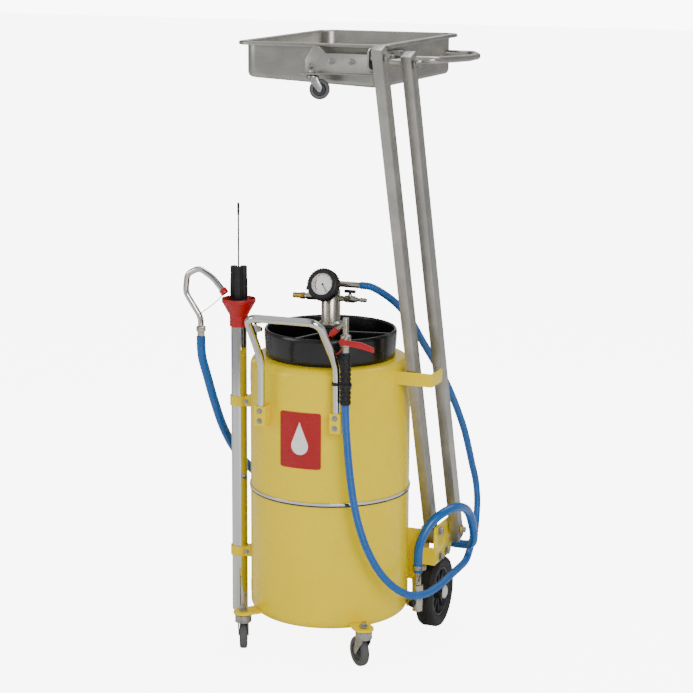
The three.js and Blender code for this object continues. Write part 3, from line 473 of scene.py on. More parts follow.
def bevelled(bm, width, steps=2, angle=32):
    """Rounds a bmesh's sharp edges by width mm."""
    bmesh.ops.remove_doubles(bm, verts=bm.verts, dist=1e-6)
    limit = math.radians(angle)
    edges = [e for e in bm.edges if len(e.link_faces) == 2 and e.calc_face_angle(0) > limit]
    bmesh.ops.bevel(
        bm, geom=edges, offset=width * MM, segments=steps, profile=0.6, affect="EDGES", clamp_overlap=True
    )


def block_into(bm, low, high, matrix=None):
    """Adds a box between two corners in mm, turned in place by a matrix if given."""
    low, high = Vector(low), Vector(high)
    centre, size = (low + high) / 2, high - low
    place = Matrix.Translation(at(*centre)) @ (matrix or Matrix.Identity(4)) @ Matrix.Diagonal((*(size * MM), 1))
    bmesh.ops.create_cube(bm, size=1, matrix=place)


def block(name, low, high, radius, material, body, matrix=None, **extra):
    bm = bmesh.new()
    block_into(bm, low, high, matrix)
    bevelled(bm, radius, 3)
    return finish_mesh(name, bm, material, body, **extra)


def refined(node, material, edge=0.5, angle=32, sharp=32):
    """A copy of a frame node with merged faces, rounded edges and smooth round stretches."""
    source = frame["nodes"][node]
    bm = bmesh.new()
    bm.from_mesh(source.data)
    bm.transform(source.matrix_world)
    bmesh.ops.remove_doubles(bm, verts=bm.verts, dist=2e-6)
    bmesh.ops.dissolve_limit(bm, angle_limit=math.radians(1), verts=bm.verts, edges=bm.edges)
    if edge:
        bevelled(bm, edge, 2, angle)
    body = next(name for name, nodes in frame["record"]["behaviour"]["bodies"].items() if node in nodes)
    return finish_mesh(node + "_finished", bm, material, body, replaced=(node,), sharp=sharp, clean=False)


# ---- geometry-node repeats ----------------------------------------------------------------
def repeat_tree(name, sockets, build):
    """A geometry-node tree with named inputs; build returns the geometry that is instanced."""
    tree = bpy.data.node_groups.new(name, "GeometryNodeTree")
    tree.interface.new_socket("Geometry", in_out="OUTPUT", socket_type="NodeSocketGeometry")
    tree.interface.new_socket("Places", in_out="INPUT", socket_type="NodeSocketGeometry")
    for label, kind in sockets:
        tree.interface.new_socket(label, in_out="INPUT", socket_type=kind)
    tree.interface.new_socket("Finish", in_out="INPUT", socket_type="NodeSocketMaterial")
    given = tree.nodes.new("NodeGroupInput").outputs
    shape = build(tree, given)
    way = add_node(tree, "GeometryNodeInputNamedAttribute", data_type="FLOAT_VECTOR", Name="way")
    side = add_node(tree, "GeometryNodeInputNamedAttribute", data_type="FLOAT_VECTOR", Name="side")
    out = add_node(tree, "FunctionNodeAlignRotationToVector", {"Vector": way.outputs["Attribute"]}, axis="Z")
    face = add_node(
        tree,
        "FunctionNodeAlignRotationToVector",
        {"Vector": side.outputs["Attribute"], "Rotation": out.outputs["Rotation"]},
        axis="X",
        pivot_axis="Z",
    )
    placed = add_node(
        tree,
        "GeometryNodeInstanceOnPoints",
        {"Points": given["Places"], "Instance": shape, "Rotation": face.outputs["Rotation"]},
    )
    solid = add_node(tree, "GeometryNodeRealizeInstances", {"Geometry": placed.outputs["Instances"]})
    coated = add_node(
        tree, "GeometryNodeSetMaterial", {"Geometry": solid.outputs["Geometry"], "Material": given["Finish"]}
    )
    add_node(tree, "NodeGroupOutput", {"Geometry": coated.outputs["Geometry"]})
    return tree


def hex_bolt_shape(tree, given):
    """A hexagon head on a round washer, standing on its point along Z."""
    head = add_node(
        tree, "GeometryNodeMeshCylinder", {"Radius": given["Head radius"], "Depth": given["Head height"]}, Vertices=6
    )
    washer = add_node(tree, "GeometryNodeMeshCylinder", {"Radius": given["Washer radius"]}, Vertices=24, Depth=0.0012)
    half = add_node(tree, "ShaderNodeMath", {0: given["Head height"]}, operation="MULTIPLY")
    half.inputs[1].default_value = 0.5
    lift = add_node(tree, "ShaderNodeCombineXYZ", {"Z": half.outputs["Value"]})
    raised = add_node(
        tree, "GeometryNodeTransform", {"Geometry": head.outputs["Mesh"], "Translation": lift.outputs["Vector"]}
    )
    both = add_node(tree, "GeometryNodeJoinGeometry")
    tree.links.new(raised.outputs["Geometry"], both.inputs[0])
    tree.links.new(washer.outputs["Mesh"], both.inputs[0])
    return both.outputs["Geometry"]


def bar_shape(tree, given):
    """A plain bar, its size given as a vector, standing along Z."""
    return add_node(tree, "GeometryNodeMeshCube", {"Size": given["Bar size"]}).outputs["Mesh"]


trees = {}


def repeated(name, tree_name, places, values, material, body, bevel=0.0, sharp=30, side=(1, 0, 0)):
    """Runs a repeat tree on (point, direction) places in mm and keeps the result as a plain mesh."""
    if not trees:
        head = [(label, "NodeSocketFloat") for label in ("Head radius", "Head height", "Washer radius")]
        trees["bolts"] = repeat_tree("hex_bolts", head, hex_bolt_shape)
        trees["bars"] = repeat_tree("bars_on_points", [("Bar size", "NodeSocketVector")], bar_shape)
    tree = trees[tree_name]
    mesh = bpy.data.meshes.new(name + "_places")
    mesh.from_pydata([at(*point) for point, _ in places], [], [])
    way = mesh.attributes.new("way", "FLOAT_VECTOR", "POINT")
    across = mesh.attributes.new("side", "FLOAT_VECTOR", "POINT")
    for i, (_, direction) in enumerate(places):
        way.data[i].vector = Vector(direction).normalized()
        across.data[i].vector = Vector(side)
    holder = bpy.data.objects.new(name + "_holder", mesh)
    bpy.context.scene.collection.objects.link(holder)
    modifier = holder.modifiers.new("repeat", "NODES")
    modifier.node_group = tree
    values = dict(values, Finish=finishes[material])
    for item in tree.interface.items_tree:
        if item.in_out == "INPUT" and item.name in values:
            modifier[item.identifier] = values[item.name]
    holder.update_tag()
    graph = bpy.context.evaluated_depsgraph_get()
    graph.update()
    result = bpy.data.meshes.new_from_object(holder.evaluated_get(graph))
    bpy.data.objects.remove(holder)
    bm = bmesh.new()
    bm.from_mesh(result)
    bpy.data.meshes.remove(result)
    if bevel:
        bevelled(bm, bevel, 2)
    return finish_mesh(name, bm, material, body, sharp=sharp, clean=False)


def bolts(name, places, material, body, across=None):
    """Hex bolts with washers at (point, direction) places in mm."""
    across = across or size_mm("bolt")
    size = across * MM
    values = {"Head radius": size * 0.577, "Head height": size * 0.6, "Washer radius": size * 0.85}
    return repeated(name, "bolts", places, values, material, body, 0.3)


def ring_places(centre, direction, radius, count, start=0.0, sweep=360.0, height=0.0):
    """Places round a circle, each facing outwards from its centre."""
    turn = turn_to(direction)
    steps = count if sweep >= 360 else count - 1
    places = []
    for i in range(count):
        angle = math.radians(start + sweep * i / steps)
        out = turn @ Vector((math.cos(angle), math.sin(angle), 0))
        places.append((Vector(centre) + out * radius + turn @ Vector((0, 0, height)), out))
    return places


def bars(name, places, size, material, body, side, bevel=0.3):
    """Bars of size (along side, across, outwards) in mm at (point, direction) places."""
    return repeated(name, "bars", places, {"Bar size": tuple(v * MM for v in size)}, material, body, bevel, 30, side)


# ---- the pieces ---------------------------------------------------------------------------
ORIGIN = (0, 0, 0)
UP = (0, 0, 1)
ACROSS = (1, 0, 0)
FORWARD = (0, -1, 0)
SIDES = ((-1, "left"), (1, "right"))
HOLDER_FOOT = (-245, -40, 0)
GUN_FOOT = (130, -226, 0)


def make_camera():
    """The camera, its directions written as the picture's right and up."""
    data = bpy.data.cameras.new("camera")
    data.sensor_width = 36
    data.lens = 105.18
    data.shift_x, data.shift_y = 0.0229, 0.0159
    camera = bpy.data.objects.new("camera", data)
    right = Vector((0.92874, 0.37070, 0.00474))
    up = Vector((-0.08352, 0.19675, 0.97689))
    back = right.cross(up)
    place = Matrix((right, up, back)).transposed().to_4x4()
    place.translation = at(1916.7, -4816.4, 1904.3)
    camera.matrix_world = place
    bpy.context.scene.collection.objects.link(camera)
    bpy.context.scene.camera = camera


DISCHARGE_ROUTE = [
    (236, 41, 198.3), (236, 41, 222), (238, 44, 268), (248, 57, 304), (264, 77, 333),
    (284, 105, 351), (302, 142, 357), (312, 186, 346), (315, 228, 320), (316, 258, 280),
    (313, 284, 238), (299, 306, 208), (264, 322, 198), (215, 329, 198), (150, 324, 208),
    (75, 308, 208), (0, 298, 216), (-80, 296, 234), (-150, 280, 262), (-212, 245, 302),
    (-262, 195, 352), (-294, 138, 408), (-313, 82, 470), (-326, 34, 542), (-336, 0, 620),
    (-344, -30, 700), (-348, -50, 752), (-349, -54, 785), (-349, -54, 809.7),
]
SUCTION_ROUTE = [
    (80.3, 6, 967), (92, 6, 967), (108, 8, 965), (130, 20, 952), (152, 42, 930),
    (168, 76, 900), (181, 122, 856), (190, 182, 796), (197, 262, 726), (201, 350, 652),
    (203, 438, 566), (203, 528, 466), (203, 604, 350), (206, 634, 290), (212, 632, 235),
    (222, 594, 190), (238, 530, 168), (255, 450, 166), (276, 362, 166), (296, 266, 170),
    (306, 180, 178), (309, 92, 182), (304, 8, 178), (290, -58, 176), (266, -108, 186),
    (240, -144, 212), (214, -176, 254), (190, -200, 310), (170, -216, 376), (154, -224, 452),
    (143, -227, 534), (135, -227, 616), (131, -226, 676), (130, -226, 740), (130, -226, 838),
]
SUCTION_RADIUS = 9.8
DISCHARGE_RADIUS = 12
cords = {}


def make_hoses():
    """The spiral suction hose and the smooth discharge hose along the frame's routes."""
    pitch, depth = size_mm("rib_pitch"), size_mm("rib_depth")

    def rib(run, angle):
        return depth * (0.5 * math.cos(2 * math.pi * run / pitch + angle) - 0.2)

    step = pitch / 6
    cords["suction"] = smooth_path(SUCTION_ROUTE, step)
    cords["discharge"] = smooth_path(DISCHARGE_ROUTE, 5)
    swept("suction_hose_spiral", cords["suction"], SUCTION_RADIUS, "spiral_hose", "base", 20, rib,
          replaced=("suction_hose",), slot="blue_hose")
    swept("discharge_hose_smooth", cords["discharge"], DISCHARGE_RADIUS, "smooth_hose", "base", 28,
          replaced=("discharge_hose",), slot="blue_hose")


def declare_cords():
    """Declares both hoses once the pieces that hang on them exist."""


def arc(cr, cz, radius, start, end, count=9):
    angles = [math.radians(start + (end - start) * i / count) for i in range(count + 1)]
    return [(cr + radius * math.cos(a), cz + radius * math.sin(a)) for a in angles]


def curved_plate(name, rows, inner, outer, material, columns=24, **extra):
    """A plate on the tank's front: rows of (height, half width) bent round the axis."""
    bm = bmesh.new()
    sheets = []
    for radius in (inner, outer):
        grid = []
        for z, half in rows:
            row = []
            for i in range(columns + 1):
                angle = (2 * i / columns - 1) * half / outer
                row.append(bm.verts.new(at(radius * math.sin(angle), -radius * math.cos(angle), z)))
            grid.append(row)
        sheets.append(grid)
    back, front = sheets
    for grid in sheets:
        for low, high in zip(grid, grid[1:]):
            for i in range(columns):
                bm.faces.new((low[i], low[i + 1], high[i + 1], high[i]))
    border_a = [r[0] for r in front] + front[-1][1:] + [r[-1] for r in front[-2::-1]] + front[0][-2:0:-1]
    border_b = [r[0] for r in back] + back[-1][1:] + [r[-1] for r in back[-2::-1]] + back[0][-2:0:-1]
    for i in range(len(border_a)):
        j = (i + 1) % len(border_a)
        bm.faces.new((border_a[i], border_a[j], border_b[j], border_b[i]))
    return finish_mesh(name, bm, material, "base", **extra)


def make_tank():
    """Tank, band and front panel with its oil-drop mark."""
    radius, wall, fillet, neck = TANK_RADIUS, 3, 25, 30
    corner = radius - fillet
    low, high = TANK_BOTTOM + fillet, TANK_TOP - fillet
    outside = [(0, TANK_BOTTOM)] + arc(corner, low, fillet, -90, 0) + arc(corner, high, fillet, 0, 90)
    inside = arc(corner, high, fillet - wall, 90, 0) + arc(corner, low, fillet - wall, 0, -90)
    profile = outside + [(neck, TANK_TOP), (neck, TANK_TOP - wall)] + inside + [(0, TANK_BOTTOM + wall)]
    turned("tank_enamelled", profile, ORIGIN, UP, "enamel", "base", 160, replaced=("tank_shell",))
    bead = soften([(210.6, 427), (213, 427), (213, 434), (210.6, 434), (210.6, 427)], 0.8)
    turned("tank_band_bead", bead, ORIGIN, UP, "chrome", "base", 160, replaced=("tank_band",))
    # Painted shade and reflection: this black rubber ring under the chrome bead stands for the dark line below the
    # band, which is shade in the groove and a dark reflection.
    shade_ring = soften([(210.6, 423.5), (212.4, 423.5), (212.4, 427), (210.6, 427), (210.6, 423.5)], 0.5)
    turned("tank_band_painted_shade_ring", shade_ring, ORIGIN, UP, "rubber_black", "base", 160)
    half, bottom, top, corner = 56.5, 523, 670, 7
    turns = [math.pi / 2 * i / 6 for i in range(7)]
    rows = [(bottom + corner * (1 - math.cos(a)), half - corner * (1 - math.sin(a))) for a in turns]
    upper = [(bottom + top - z, w) for z, w in reversed(rows)]
    curved_plate("front_panel_plate", rows + upper, 210.6, 211.8, "panel_red", replaced=("front_panel",))
    round_half, apex, centre = 23, 62, 582
    drop = []
    for i in range(1, 13):
        angle = math.radians(-90 + i * 9.2)
        drop.append((centre + round_half * math.sin(angle), round_half * math.cos(angle)))
    for i in range(1, 8):
        drop.append((centre + 8.5 + (apex - 8.5) * i / 7, max(0.4, 21.4 * (1 - i / 7))))
    curved_plate("front_panel_drop", drop, 211.6, 212.2, "panel_white", slot="front_panel_enamel")


def make_tray():
    """Tool tray: bowl, dividers and the post round the head's stem."""
    base, rim = 780.3, 853.3
    ring = [(15, base), (170, base), (174, rim - 8), (171, rim), (165, rim - 3), (162, base + 8), (15, base + 8),
            (15, base)]
    turned("tool_tray_bowl", soften(ring, size_mm("tray_rim"), 5), ORIGIN, UP, "abs_black", "base", 144,
           replaced=("tool_tray",))
    bm = bmesh.new()
    for i in range(3):
        angle = math.radians(10 + i * 120)
        centre = Vector((math.cos(angle) * 96, math.sin(angle) * 96, base + 33.5))
        half = Vector((69, 4, 29.5))
        block_into(bm, centre - half, centre + half, Matrix.Rotation(angle, 4, "Z"))
    bevelled(bm, 2.5, 4)
    finish_mesh("tool_tray_dividers", bm, "abs_black", "base", slot="black_plastic")
    post = soften([(15, base), (34, base), (34, 851.7), (15, 851.7), (15, base)], 3)
    turned("tool_tray_post", post, ORIGIN, UP, "abs_black", "base", 64, slot="black_plastic")


def make_push_handle():
    """Bent chrome handle, its two brackets and their bolts."""
    corners = [(-103, -218, 655), (-103, -218, 800), (-97, -322, 928), (97, -322, 928), (103, -218, 800),
               (103, -218, 655)]
    swept("push_handle_bent", bent_path(corners, 30, 14), 10, "chrome", "base", 40, replaced=("push_handle",))
    places = []
    for side, name in SIDES:
        refined("handle_bracket_" + name, "enamel", 1.2)
        places += [((side * 103, -230, 642), FORWARD), ((side * 103, -230, 668), FORWARD)]
    bolts("handle_bracket_bolts", places, "zinc", "base", 9)


def make_probe_holder():
    """Holder tube, straps, funnel, the three probes and the long thin one."""
    tube = soften([(0, 60), (21, 60), (21, 862), (19.5, 862), (19.5, 61.5), (0, 61.5)], 0.6)
    turned("probe_holder_tube_chromed", tube, HOLDER_FOOT, UP, "chrome", "base", 96,
           replaced=("probe_holder_tube",))
    for name in ("upper", "lower"):
        refined("holder_strap_" + name, "enamel", 0.8)
    funnel = [(22.3, 843), (24.5, 843), (24.5, 872), (43, 906), (45, 908), (45, 918), (42.8, 918), (41.8, 906),
              (22.3, 872), (22.3, 843)]
    turned("probe_funnel_moulded", soften(funnel, 1.6), HOLDER_FOOT, UP, "red", "base", 96,
           replaced=("probe_funnel",))
    grip = [(4, 884), (8.5, 886), (9.4, 912), (8.6, 915), (10.2, 920), (11, 931), (10.4, 968), (9.6, 972),
            (9.5, 1003), (0, 1005)]
    probe = soften([(0, 110), (4, 110)] + grip, 1.2, 3)
    for i in range(3):
        angle = math.radians(50 + i * 120)
        here = Vector(HOLDER_FOOT) + Vector((math.cos(angle), math.sin(angle), 0)) * 14.5
        turned(f"suction_probe_{i + 1}_turned", probe, here, UP, "rubber_black",
               f"suction_probe_{i + 1}", 36, replaced=(f"suction_probe_{i + 1}",))
    rod = soften([(0, 150), (2.2, 150), (2.2, 1138), (3.2, 1141), (3.2, 1170), (0, 1172)], 0.8, 3)
    turned("long_probe_turned", rod, HOLDER_FOOT, UP, "abs_black", "long_probe", 24, replaced=("long_probe",))


FACE = Vector((0, -math.cos(math.radians(20)), math.sin(math.radians(20))))
DIAL = Vector((0, -50, 972))


def make_gauge():
    """Vacuum gauge: cup, toothed rubber boot, dial, ticks, mark and needle."""
    cup = soften([(0, -13), (36, -13), (36, 13), (33.5, 13), (33.5, 8), (0, 8)], 0.8)
    turned("gauge_case_turned", cup, DIAL, FACE, "nickel", "base", 96, replaced=("gauge_case",))
    boot = soften([(36.4, -11), (40.6, -11), (40.6, 13), (37, 16), (28.5, 16), (28.5, 13.3), (36.4, 13.3),
                   (36.4, -11)], 1.2)
    turned("gauge_boot_ring", boot, DIAL, FACE, "rubber_black", "base", 96, replaced=("gauge_boot",))
    teeth = ring_places(DIAL, FACE, 40.2, sizes().boot_teeth, height=1)
    bars("gauge_boot_teeth", teeth, (23, 4, 5), "rubber_black", "base", FACE, 0.8)
    disc = [(0, 8.1), (33.2, 8.1), (33.2, 8.5), (0, 8.5)]
    turned("gauge_dial_disc", disc, DIAL, FACE, "dial", "base", 96, slot="nickel")
    major = ring_places(DIAL, FACE, 25, 11, 225, -270, 8.6)
    bars("gauge_ticks_major", major, (0.3, 0.9, 4.5), "ink_black", "base", FACE, 0)
    minor = ring_places(DIAL, FACE, 26, 51, 225, -270, 8.6)
    bars("gauge_ticks_minor", minor, (0.3, 0.35, 2.4), "ink_black", "base", FACE, 0)
    mark = ring_places(DIAL, FACE, 20.5, 22, 225, -75, 8.6)
    bars("gauge_mark", mark, (0.3, 1.6, 2.4), "red", "base", FACE, 0)
    refined("gauge_needle", "ink_black", 0)


def make_head():
    """Vacuum head with its two side valves, the vent valve and the level gauge."""
    refined("vacuum_head", "nickel", 0.6, 44, 42)
    for name in ("silencer_valve", "barb_valve", "vent_valve"):
        refined(name, "nickel", 0.6, 44, 42)
        refined(name + "_handle", "abs_black", 1.8, 44, 42)
    refined("silencer", "brass", 0.5, 44)
    refined("valve_barb", "nickel", 0.4, 44)
    refined("level_gauge", "acrylic", 0.4, 44)


def strap(name, points, radius):
    return swept(name, smooth_path(points, 2), radius, "red", "base", 14, slot="red_plastic")


def make_gun():
    """Suction gun: toothed rubber guard, valve, lever, cap and its strap, and the clip."""
    core = soften([(10.7, 706), (12.4, 706), (12.4, 838), (10.7, 838), (10.7, 706)], 0.7)
    turned("hose_guard_core", core, GUN_FOOT, UP, "rubber_black", "base", 48, replaced=("hose_guard",))
    places = []
    for row in range(11):
        places += ring_places((*GUN_FOOT[:2], 713 + row * 11.8), UP, 12.6, 8, row % 2 * 22.5)
    bars("hose_guard_blocks", places, (7.4, 7.4, 3), "rubber_black", "base", UP, 0.6)
    refined("gun_valve", "nickel", 0.5, 44, 42)
    refined("gun_lever", "red", 2.0, 44, 42)
    refined("gun_cap", "red", 0.8, 44)
    refined("gun_clip", "abs_black", 0.6, 44)
    strap("gun_cap_strap", [(96, -233, 890), (86, -235, 876), (84, -236, 856), (92, -237, 838), (106, -237, 834),
                            (118, -237.5, 842), (124, -236, 850)], 1.5)


def make_discharge():
    """Outlet valve with its knob and clamp, and the hooked spout with cap and strap."""
    refined("outlet_valve", "nickel", 0.8, 44, 42)
    refined("outlet_valve_knob", "abs_black", 1.5, 44, 50)
    refined("hose_clamp", "zinc", 0.4, 44)
    corners = [(-349, -54, 838.3), (-349, -54, 860), (-391, -58, 926), (-385, -59, 976), (-349, -60, 994),
               (-309, -60, 970), (-283, -62, 942)]
    swept("discharge_spout_bent", bent_path(corners, 14, 12, 6), 8, "chrome", "base", 36,
          replaced=("discharge_spout",))
    refined("spout_fitting", "nickel", 0.8, 44)
    refined("spout_cap", "red", 1.2, 44)
    strap("spout_cap_strap", [(-279, -66, 930), (-290, -74, 915), (-312, -76, 896), (-335, -70, 880),
                              (-349, -63.5, 870)], 1.3)


def make_rear_end():
    """Chassis and the two rear wheels: grooved tyre, spoked rim and hub cap."""
    refined("rear_chassis", "enamel", 1.0, 44)
    tyre = [(66, -17), (72, -21), (86, -25), (94, -23), (97.5, -16)]
    for z in (-9, -2, 5):
        tyre += [(97.5, z - 1.2), (94.5, z - 0.8), (94.5, z + 2.8), (97.5, z + 3.2)]
    tyre += [(97.5, 16), (94, 23), (86, 25), (72, 21), (66, 17), (66, -17)]
    rim = [(8.4, -24), (21, -24), (22, -7), (58, -7), (62, -19), (66.4, -19), (66.4, 19), (62, 19), (58, 7),
           (22, 7), (21, 24), (8.4, 24), (8.4, -24)]
    for side, name in SIDES:
        body, hub = "rear_wheel_" + name, Vector((side * 230, 199, 97.5))
        turned(body + "_tyre", soften(tyre, 1.2, 2), hub, ACROSS, "tyre", body, 120, replaced=(body,))
        turned(body + "_rim", soften(rim, 1.5, 3), hub, ACROSS, "rim_black", body, 96, slot="tyre_rubber")
        spokes = ring_places(hub, ACROSS, 41, sizes().spokes)
        bars(body + "_spokes", spokes, (26, 5, 44), "rim_black", body, ACROSS, 1.2)
        refined("rear_axle_" + name, "zinc", 0.5, 44)
        start = side * 258.2
        dome = soften([(0, 7), (12, 6.4), (17.5, 3.5), (19, 0), (0, 0)], 1.5, 4)
        turned(body + "_hub_cap", dome, (start, 199, 97.5), (side, 0, 0), "hub_white", "base", 48, slot="zinc_steel")


def make_casters():
    """Front casters on their lugs, and the pan's own caster."""
    for name in ("left", "right"):
        refined("caster_lug_" + name, "enamel", 1.0, 44)
    for prefix, x, y, floor, heading, trail, radius, width, axle in (
        ("front_caster_left", -170, -187, 0, 112, 22, 40, 20, 4),
        ("front_caster_right", 170, -187, 0, 139, 22, 40, 20, 4),
        ("pan_caster", 58, -272, 1468, 20, 17, 25, 17, 3),
    ):
        refined(prefix + "_fork", "zinc", 0.6, 44, 42)
        angle = math.radians(heading)
        hub = (x + math.cos(angle) * trail, y + math.sin(angle) * trail, floor + radius)
        axis = (-math.sin(angle), math.cos(angle), 0)
        half, seat = width / 2, radius * 0.62
        tread = [(seat, -half), (radius - 3, -half), (radius, -half + 4), (radius, half - 4), (radius - 3, half),
                 (seat, half), (seat, -half)]
        core = [(axle + 0.4, -half), (seat * 0.5, -half), (seat * 0.55, -half + 3), (seat * 0.9, -half + 3),
                (seat + 0.2, -half + 0.6), (seat + 0.2, half - 0.6), (seat * 0.9, half - 3), (seat * 0.55, half - 3),
                (seat * 0.5, half), (axle + 0.4, half), (axle + 0.4, -half)]
        wheel = prefix + "_wheel"
        turned(wheel + "_tread", soften(tread, 2.2, 4), hub, axis, "caster_rubber", wheel, 72, replaced=(wheel,))
        turned(wheel + "_core", soften(core, 0.6, 2), hub, axis, "caster_core", wheel, 48, slot="grey_rubber")


def make_arms():
    """The two folding arms, their end caps and the strap they rest against."""
    refined("front_arm", "stainless", 1.4)
    refined("rear_arm", "stainless", 1.4)
    refined("arm_rest_strap", "enamel", 1.0)
    back, rise = 432, 1286  # from an arm's foot pivot to its head pivot
    lean = math.atan2(back, rise)
    reach = math.hypot(back, rise) + 22
    for name, x, y, z in (("front_arm", 240.5, 132, 290), ("rear_arm", 278.5, 232, 270)):
        centre = Vector((x, y - math.sin(lean) * reach, z + math.cos(lean) * reach))
        half = Vector((10.3, 17.8, 3))
        block(name + "_end_cap", centre - half, centre + half, 1.0, "zinc", name, Matrix.Rotation(lean, 4, "X"),
              slot="zinc_steel")


PAN_CENTRE = (31, 58)
PAN_WIDTH = 400
PAN_LENGTH = 585


def rounded_ring(width, length, corner, count=9):
    """Points round a rectangle with rounded corners, anticlockwise."""
    points = []
    for cx, cy, start in ((1, 1, 0), (-1, 1, 90), (-1, -1, 180), (1, -1, 270)):
        for i in range(count + 1):
            angle = math.radians(start + 90 * i / count)
            x = cx * (width / 2 - corner) + corner * math.cos(angle)
            y = cy * (length / 2 - corner) + corner * math.sin(angle)
            points.append((PAN_CENTRE[0] + x, PAN_CENTRE[1] + y))
    return points


def make_pan():
    """Drain pan with a rolled rim and sloping floor, its handle and the cradle under it."""

    def floor(x):
        return 1502.5 - (x - PAN_CENTRE[0]) * 0.0475

    # Each ring of the section: inset from the rim, height, or 0 and the lift above the sloping floor.
    outer_wall = [(60, 0, 0), (34, 0, 0), (27, 0, 1.2), (22.5, 0, 5), (20, 0, 13), (20, 1597.6, 0)]
    bead = [(7, 1597.4, 0), (3.4, 1596, 0), (2.6, 1592.4, 0), (1.2, 1591, 0), (0, 1593, 0), (0, 1597, 0),
            (1.2, 1599.2, 0), (3.4, 1600, 0)]
    inner_wall = [(18.5, 1600, 0), (21, 1599, 0), (22, 1596, 0), (22, 0, 15), (24.5, 0, 7), (29, 0, 3.2),
                  (36, 0, 2), (60, 0, 2)]
    bm = bmesh.new()
    rings = []
    for inset, z, lift in outer_wall + bead + inner_wall:
        outline = rounded_ring(PAN_WIDTH - 2 * inset, PAN_LENGTH - 2 * inset, max(6, 44 - 0.6 * inset))
        rings.append([bm.verts.new(at(x, y, z if z else floor(x) + lift)) for x, y in outline])
    skin(bm, rings)
    bm.faces.new(list(reversed(rings[0])))
    bm.faces.new(rings[-1])
    finish_mesh("drain_pan_pressed", bm, "pan_steel", "pan_frame", replaced=("drain_pan",), sharp=50)
    corners = [(221.3, -142, 1562), (326, -142, 1562), (331, 100, 1552), (320, 214, 1550), (282, 292, 1550),
               (211.3, 292, 1550)]
    swept("pan_handle_bent", bent_path(corners, 22, 12), 8.5, "stainless", "pan_frame", 32, replaced=("pan_handle",))
    refined("pan_cradle", "stainless", 0.8, 44, 42)


def make_fasteners():
    """Bolts of the cradle, the pivots and the chassis."""
    front = [((x, -252, z), FORWARD) for x, z in ((44, 1546), (98, 1560), (150, 1560), (202, 1560), (202, 1542))]
    plate = [((221.2, y, z), ACROSS) for y, z in ((-275, 1560), (-165, 1572), (-95, 1578))]
    bolts("cradle_bolts", front + plate, "zinc", "pan_frame")
    bolts("pan_pivot_bolt", [((300.5, -200, 1556), ACROSS)], "zinc", "pan_frame", 15)
    feet = [(place, ACROSS) for place in ((266, 132, 290), (296, 232, 270), (262, 150, 214), (262, 200, 214))]
    bolts("chassis_bolts", feet, "zinc", "base", 15)
    lugs = [((side * 170, -187, 116.5), UP) for side, _ in SIDES]
    bolts("caster_lock_nuts", lugs, "zinc", "base", 14)
    bolts("strap_bolts", [((-219, -54, z), FORWARD) for z in (228, 643)], "zinc", "base", 8)


def softbox(name, point, target, size, watts):
    """A square area light at a point in metres, aimed at a target."""
    light = bpy.data.lights.new(name, "AREA")
    light.size = size
    light.energy = watts
    lamp = bpy.data.objects.new(name, light)
    lamp.location = point
    lamp.rotation_euler = (Vector(target) - Vector(point)).to_track_quat("-Z", "Y").to_euler()
    bpy.context.scene.collection.objects.link(lamp)


def seen_by_camera(tree):
    return add_node(tree, "ShaderNodeLightPath").outputs["Is Camera Ray"]


def make_stage():
    """Pale paper floor, a white surround whose reflections are banded, and three soft boxes."""
    material, tree, bsdf, where = base_material("studio_paper", (0.9, 0.9, 0.9, 1), 0.6, Emission_Color=(1, 1, 1, 1))
    vary_roughness(tree, bsdf, noise(tree, where, 120), 0.55, 0.65)
    glow = add_node(tree, "ShaderNodeMath", {0: seen_by_camera(tree)}, operation="MULTIPLY")
    glow.inputs[1].default_value = 7.0
    tree.links.new(glow.outputs["Value"], bsdf.inputs["Emission Strength"])
    bm = bmesh.new()
    bmesh.ops.create_grid(bm, x_segments=24, y_segments=24, size=30)
    mesh = bpy.data.meshes.new("studio_floor")
    bm.to_mesh(mesh)
    bm.free()
    mesh.materials.append(material)
    floor = bpy.data.objects.new("studio_floor", mesh)
    floor.location = (0, 0, -0.0005)
    bpy.context.scene.collection.objects.link(floor)
    world = bpy.data.worlds.new("studio")
    world.use_nodes = True
    tree = world.node_tree
    direction = add_node(tree, "ShaderNodeNewGeometry").outputs["Incoming"]
    parts = add_node(tree, "ShaderNodeSeparateXYZ", {"Vector": direction})
    remap = add_node(tree, "ShaderNodeMapRange", {"Value": parts.outputs["X"]}, From_Min=-1)
    bands = add_node(tree, "ShaderNodeValToRGB", {"Fac": remap.outputs["Result"]})
    ramp = bands.color_ramp
    ramp.elements[0].color = (0.34, 0.34, 0.34, 1)
    ramp.elements[1].color = (0.38, 0.38, 0.38, 1)
    for position, value in ((0.22, 0.85), (0.34, 0.24), (0.44, 0.12), (0.56, 0.7), (0.72, 0.85), (0.86, 0.22)):
        element = ramp.elements.new(position)
        element.color = (value, value, value, 1)
    shown = add_node(tree, "ShaderNodeMix", {0: seen_by_camera(tree)}, data_type="RGBA")
    tree.links.new(bands.outputs["Color"], shown.inputs[6])
    shown.inputs[7].default_value = (9, 9, 9, 1)
    background = tree.nodes["Background"]
    tree.links.new(shown.outputs[2], background.inputs["Color"])
    background.inputs["Strength"].default_value = 1.0
    bpy.context.scene.world = world
    softbox("key", (2.6, -3.6, 2.6), (0, 0, 0.9), 2.2, 125)
    softbox("fill", (-3.4, -2.6, 2.0), (0, 0, 0.8), 1.8, 42)
    softbox("top", (0.4, 1.4, 4.2), (0, 0, 1.0), 2.6, 85)


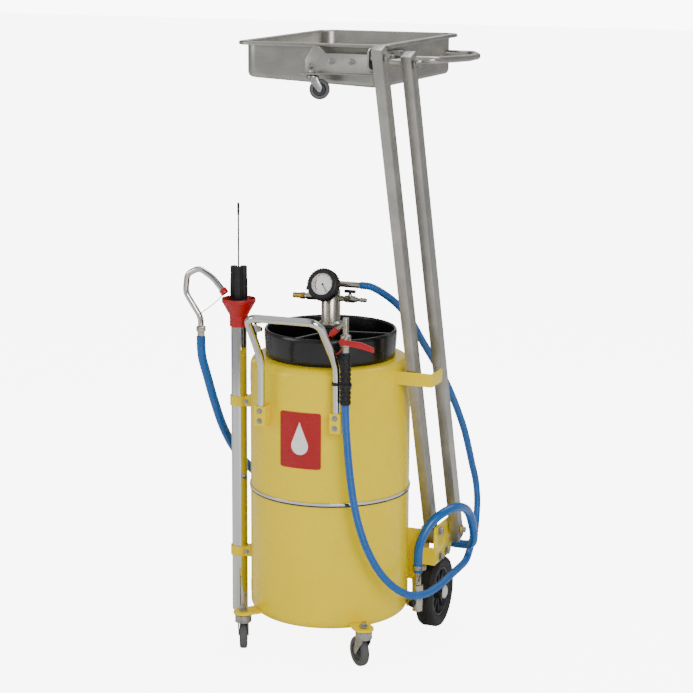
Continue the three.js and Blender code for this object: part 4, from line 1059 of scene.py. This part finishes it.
# ---- operators ----------------------------------------------------------------------------
PIECES = (
    ("camera", "Camera", make_camera),
    ("finishes", "Finishes", make_finishes),
    ("hoses", "Hoses", make_hoses),
    ("tank", "Tank", make_tank),
    ("tray", "Tool tray", make_tray),
    ("push_handle", "Push handle", make_push_handle),
    ("probe_holder", "Probe holder", make_probe_holder),
    ("gauge", "Vacuum gauge", make_gauge),
    ("head", "Vacuum head", make_head),
    ("gun", "Suction gun", make_gun),
    ("discharge", "Discharge line", make_discharge),
    ("rear_end", "Rear wheels", make_rear_end),
    ("casters", "Casters", make_casters),
    ("arms", "Folding arms", make_arms),
    ("pan", "Drain pan", make_pan),
    ("fasteners", "Fasteners", make_fasteners),
    ("cords", "Declare hoses", declare_cords),
    ("stage", "Studio", make_stage),
)


def operator_for(key, label, build):
    def execute(self, context):
        build()
        return {"FINISHED"}

    members = {
        "bl_idname": "drainer." + key, "bl_label": label, "__doc__": build.__doc__ or label, "execute": execute,
    }
    return type("DRAINER_OT_" + key, (bpy.types.Operator,), members)


OPERATORS = [operator_for(*piece) for piece in PIECES]


class DRAINER_PT_panel(bpy.types.Panel):
    """Lists the steps and settings in the 3D view's sidebar."""

    bl_label = "Waste-oil drainer"
    bl_idname = "DRAINER_PT_panel"
    bl_space_type = "VIEW_3D"
    bl_region_type = "UI"
    bl_category = "Drainer"

    def draw(self, context):
        for settings in (context.scene.drainer_colours, context.scene.drainer_sizes):
            for name in type(settings).__annotations__:
                self.layout.prop(settings, name)
        for key, label, _ in PIECES:
            self.layout.operator("drainer." + key, text=label)


CLASSES = [DRAINER_PG_colours, DRAINER_PG_sizes, *OPERATORS, DRAINER_PT_panel]


def register():
    for cls in CLASSES:
        bpy.utils.register_class(cls)
    bpy.types.Scene.drainer_colours = bpy.props.PointerProperty(type=DRAINER_PG_colours)
    bpy.types.Scene.drainer_sizes = bpy.props.PointerProperty(type=DRAINER_PG_sizes)


def unregister():
    del bpy.types.Scene.drainer_sizes
    del bpy.types.Scene.drainer_colours
    for cls in reversed(CLASSES):
        bpy.utils.unregister_class(cls)


def main():
    register()
    for key, _, _ in PIECES:
        if getattr(bpy.ops.drainer, key)() != {"FINISHED"}:
            raise RuntimeError("drainer." + key + " didn't finish")


if __name__ == "__main__":
    main()
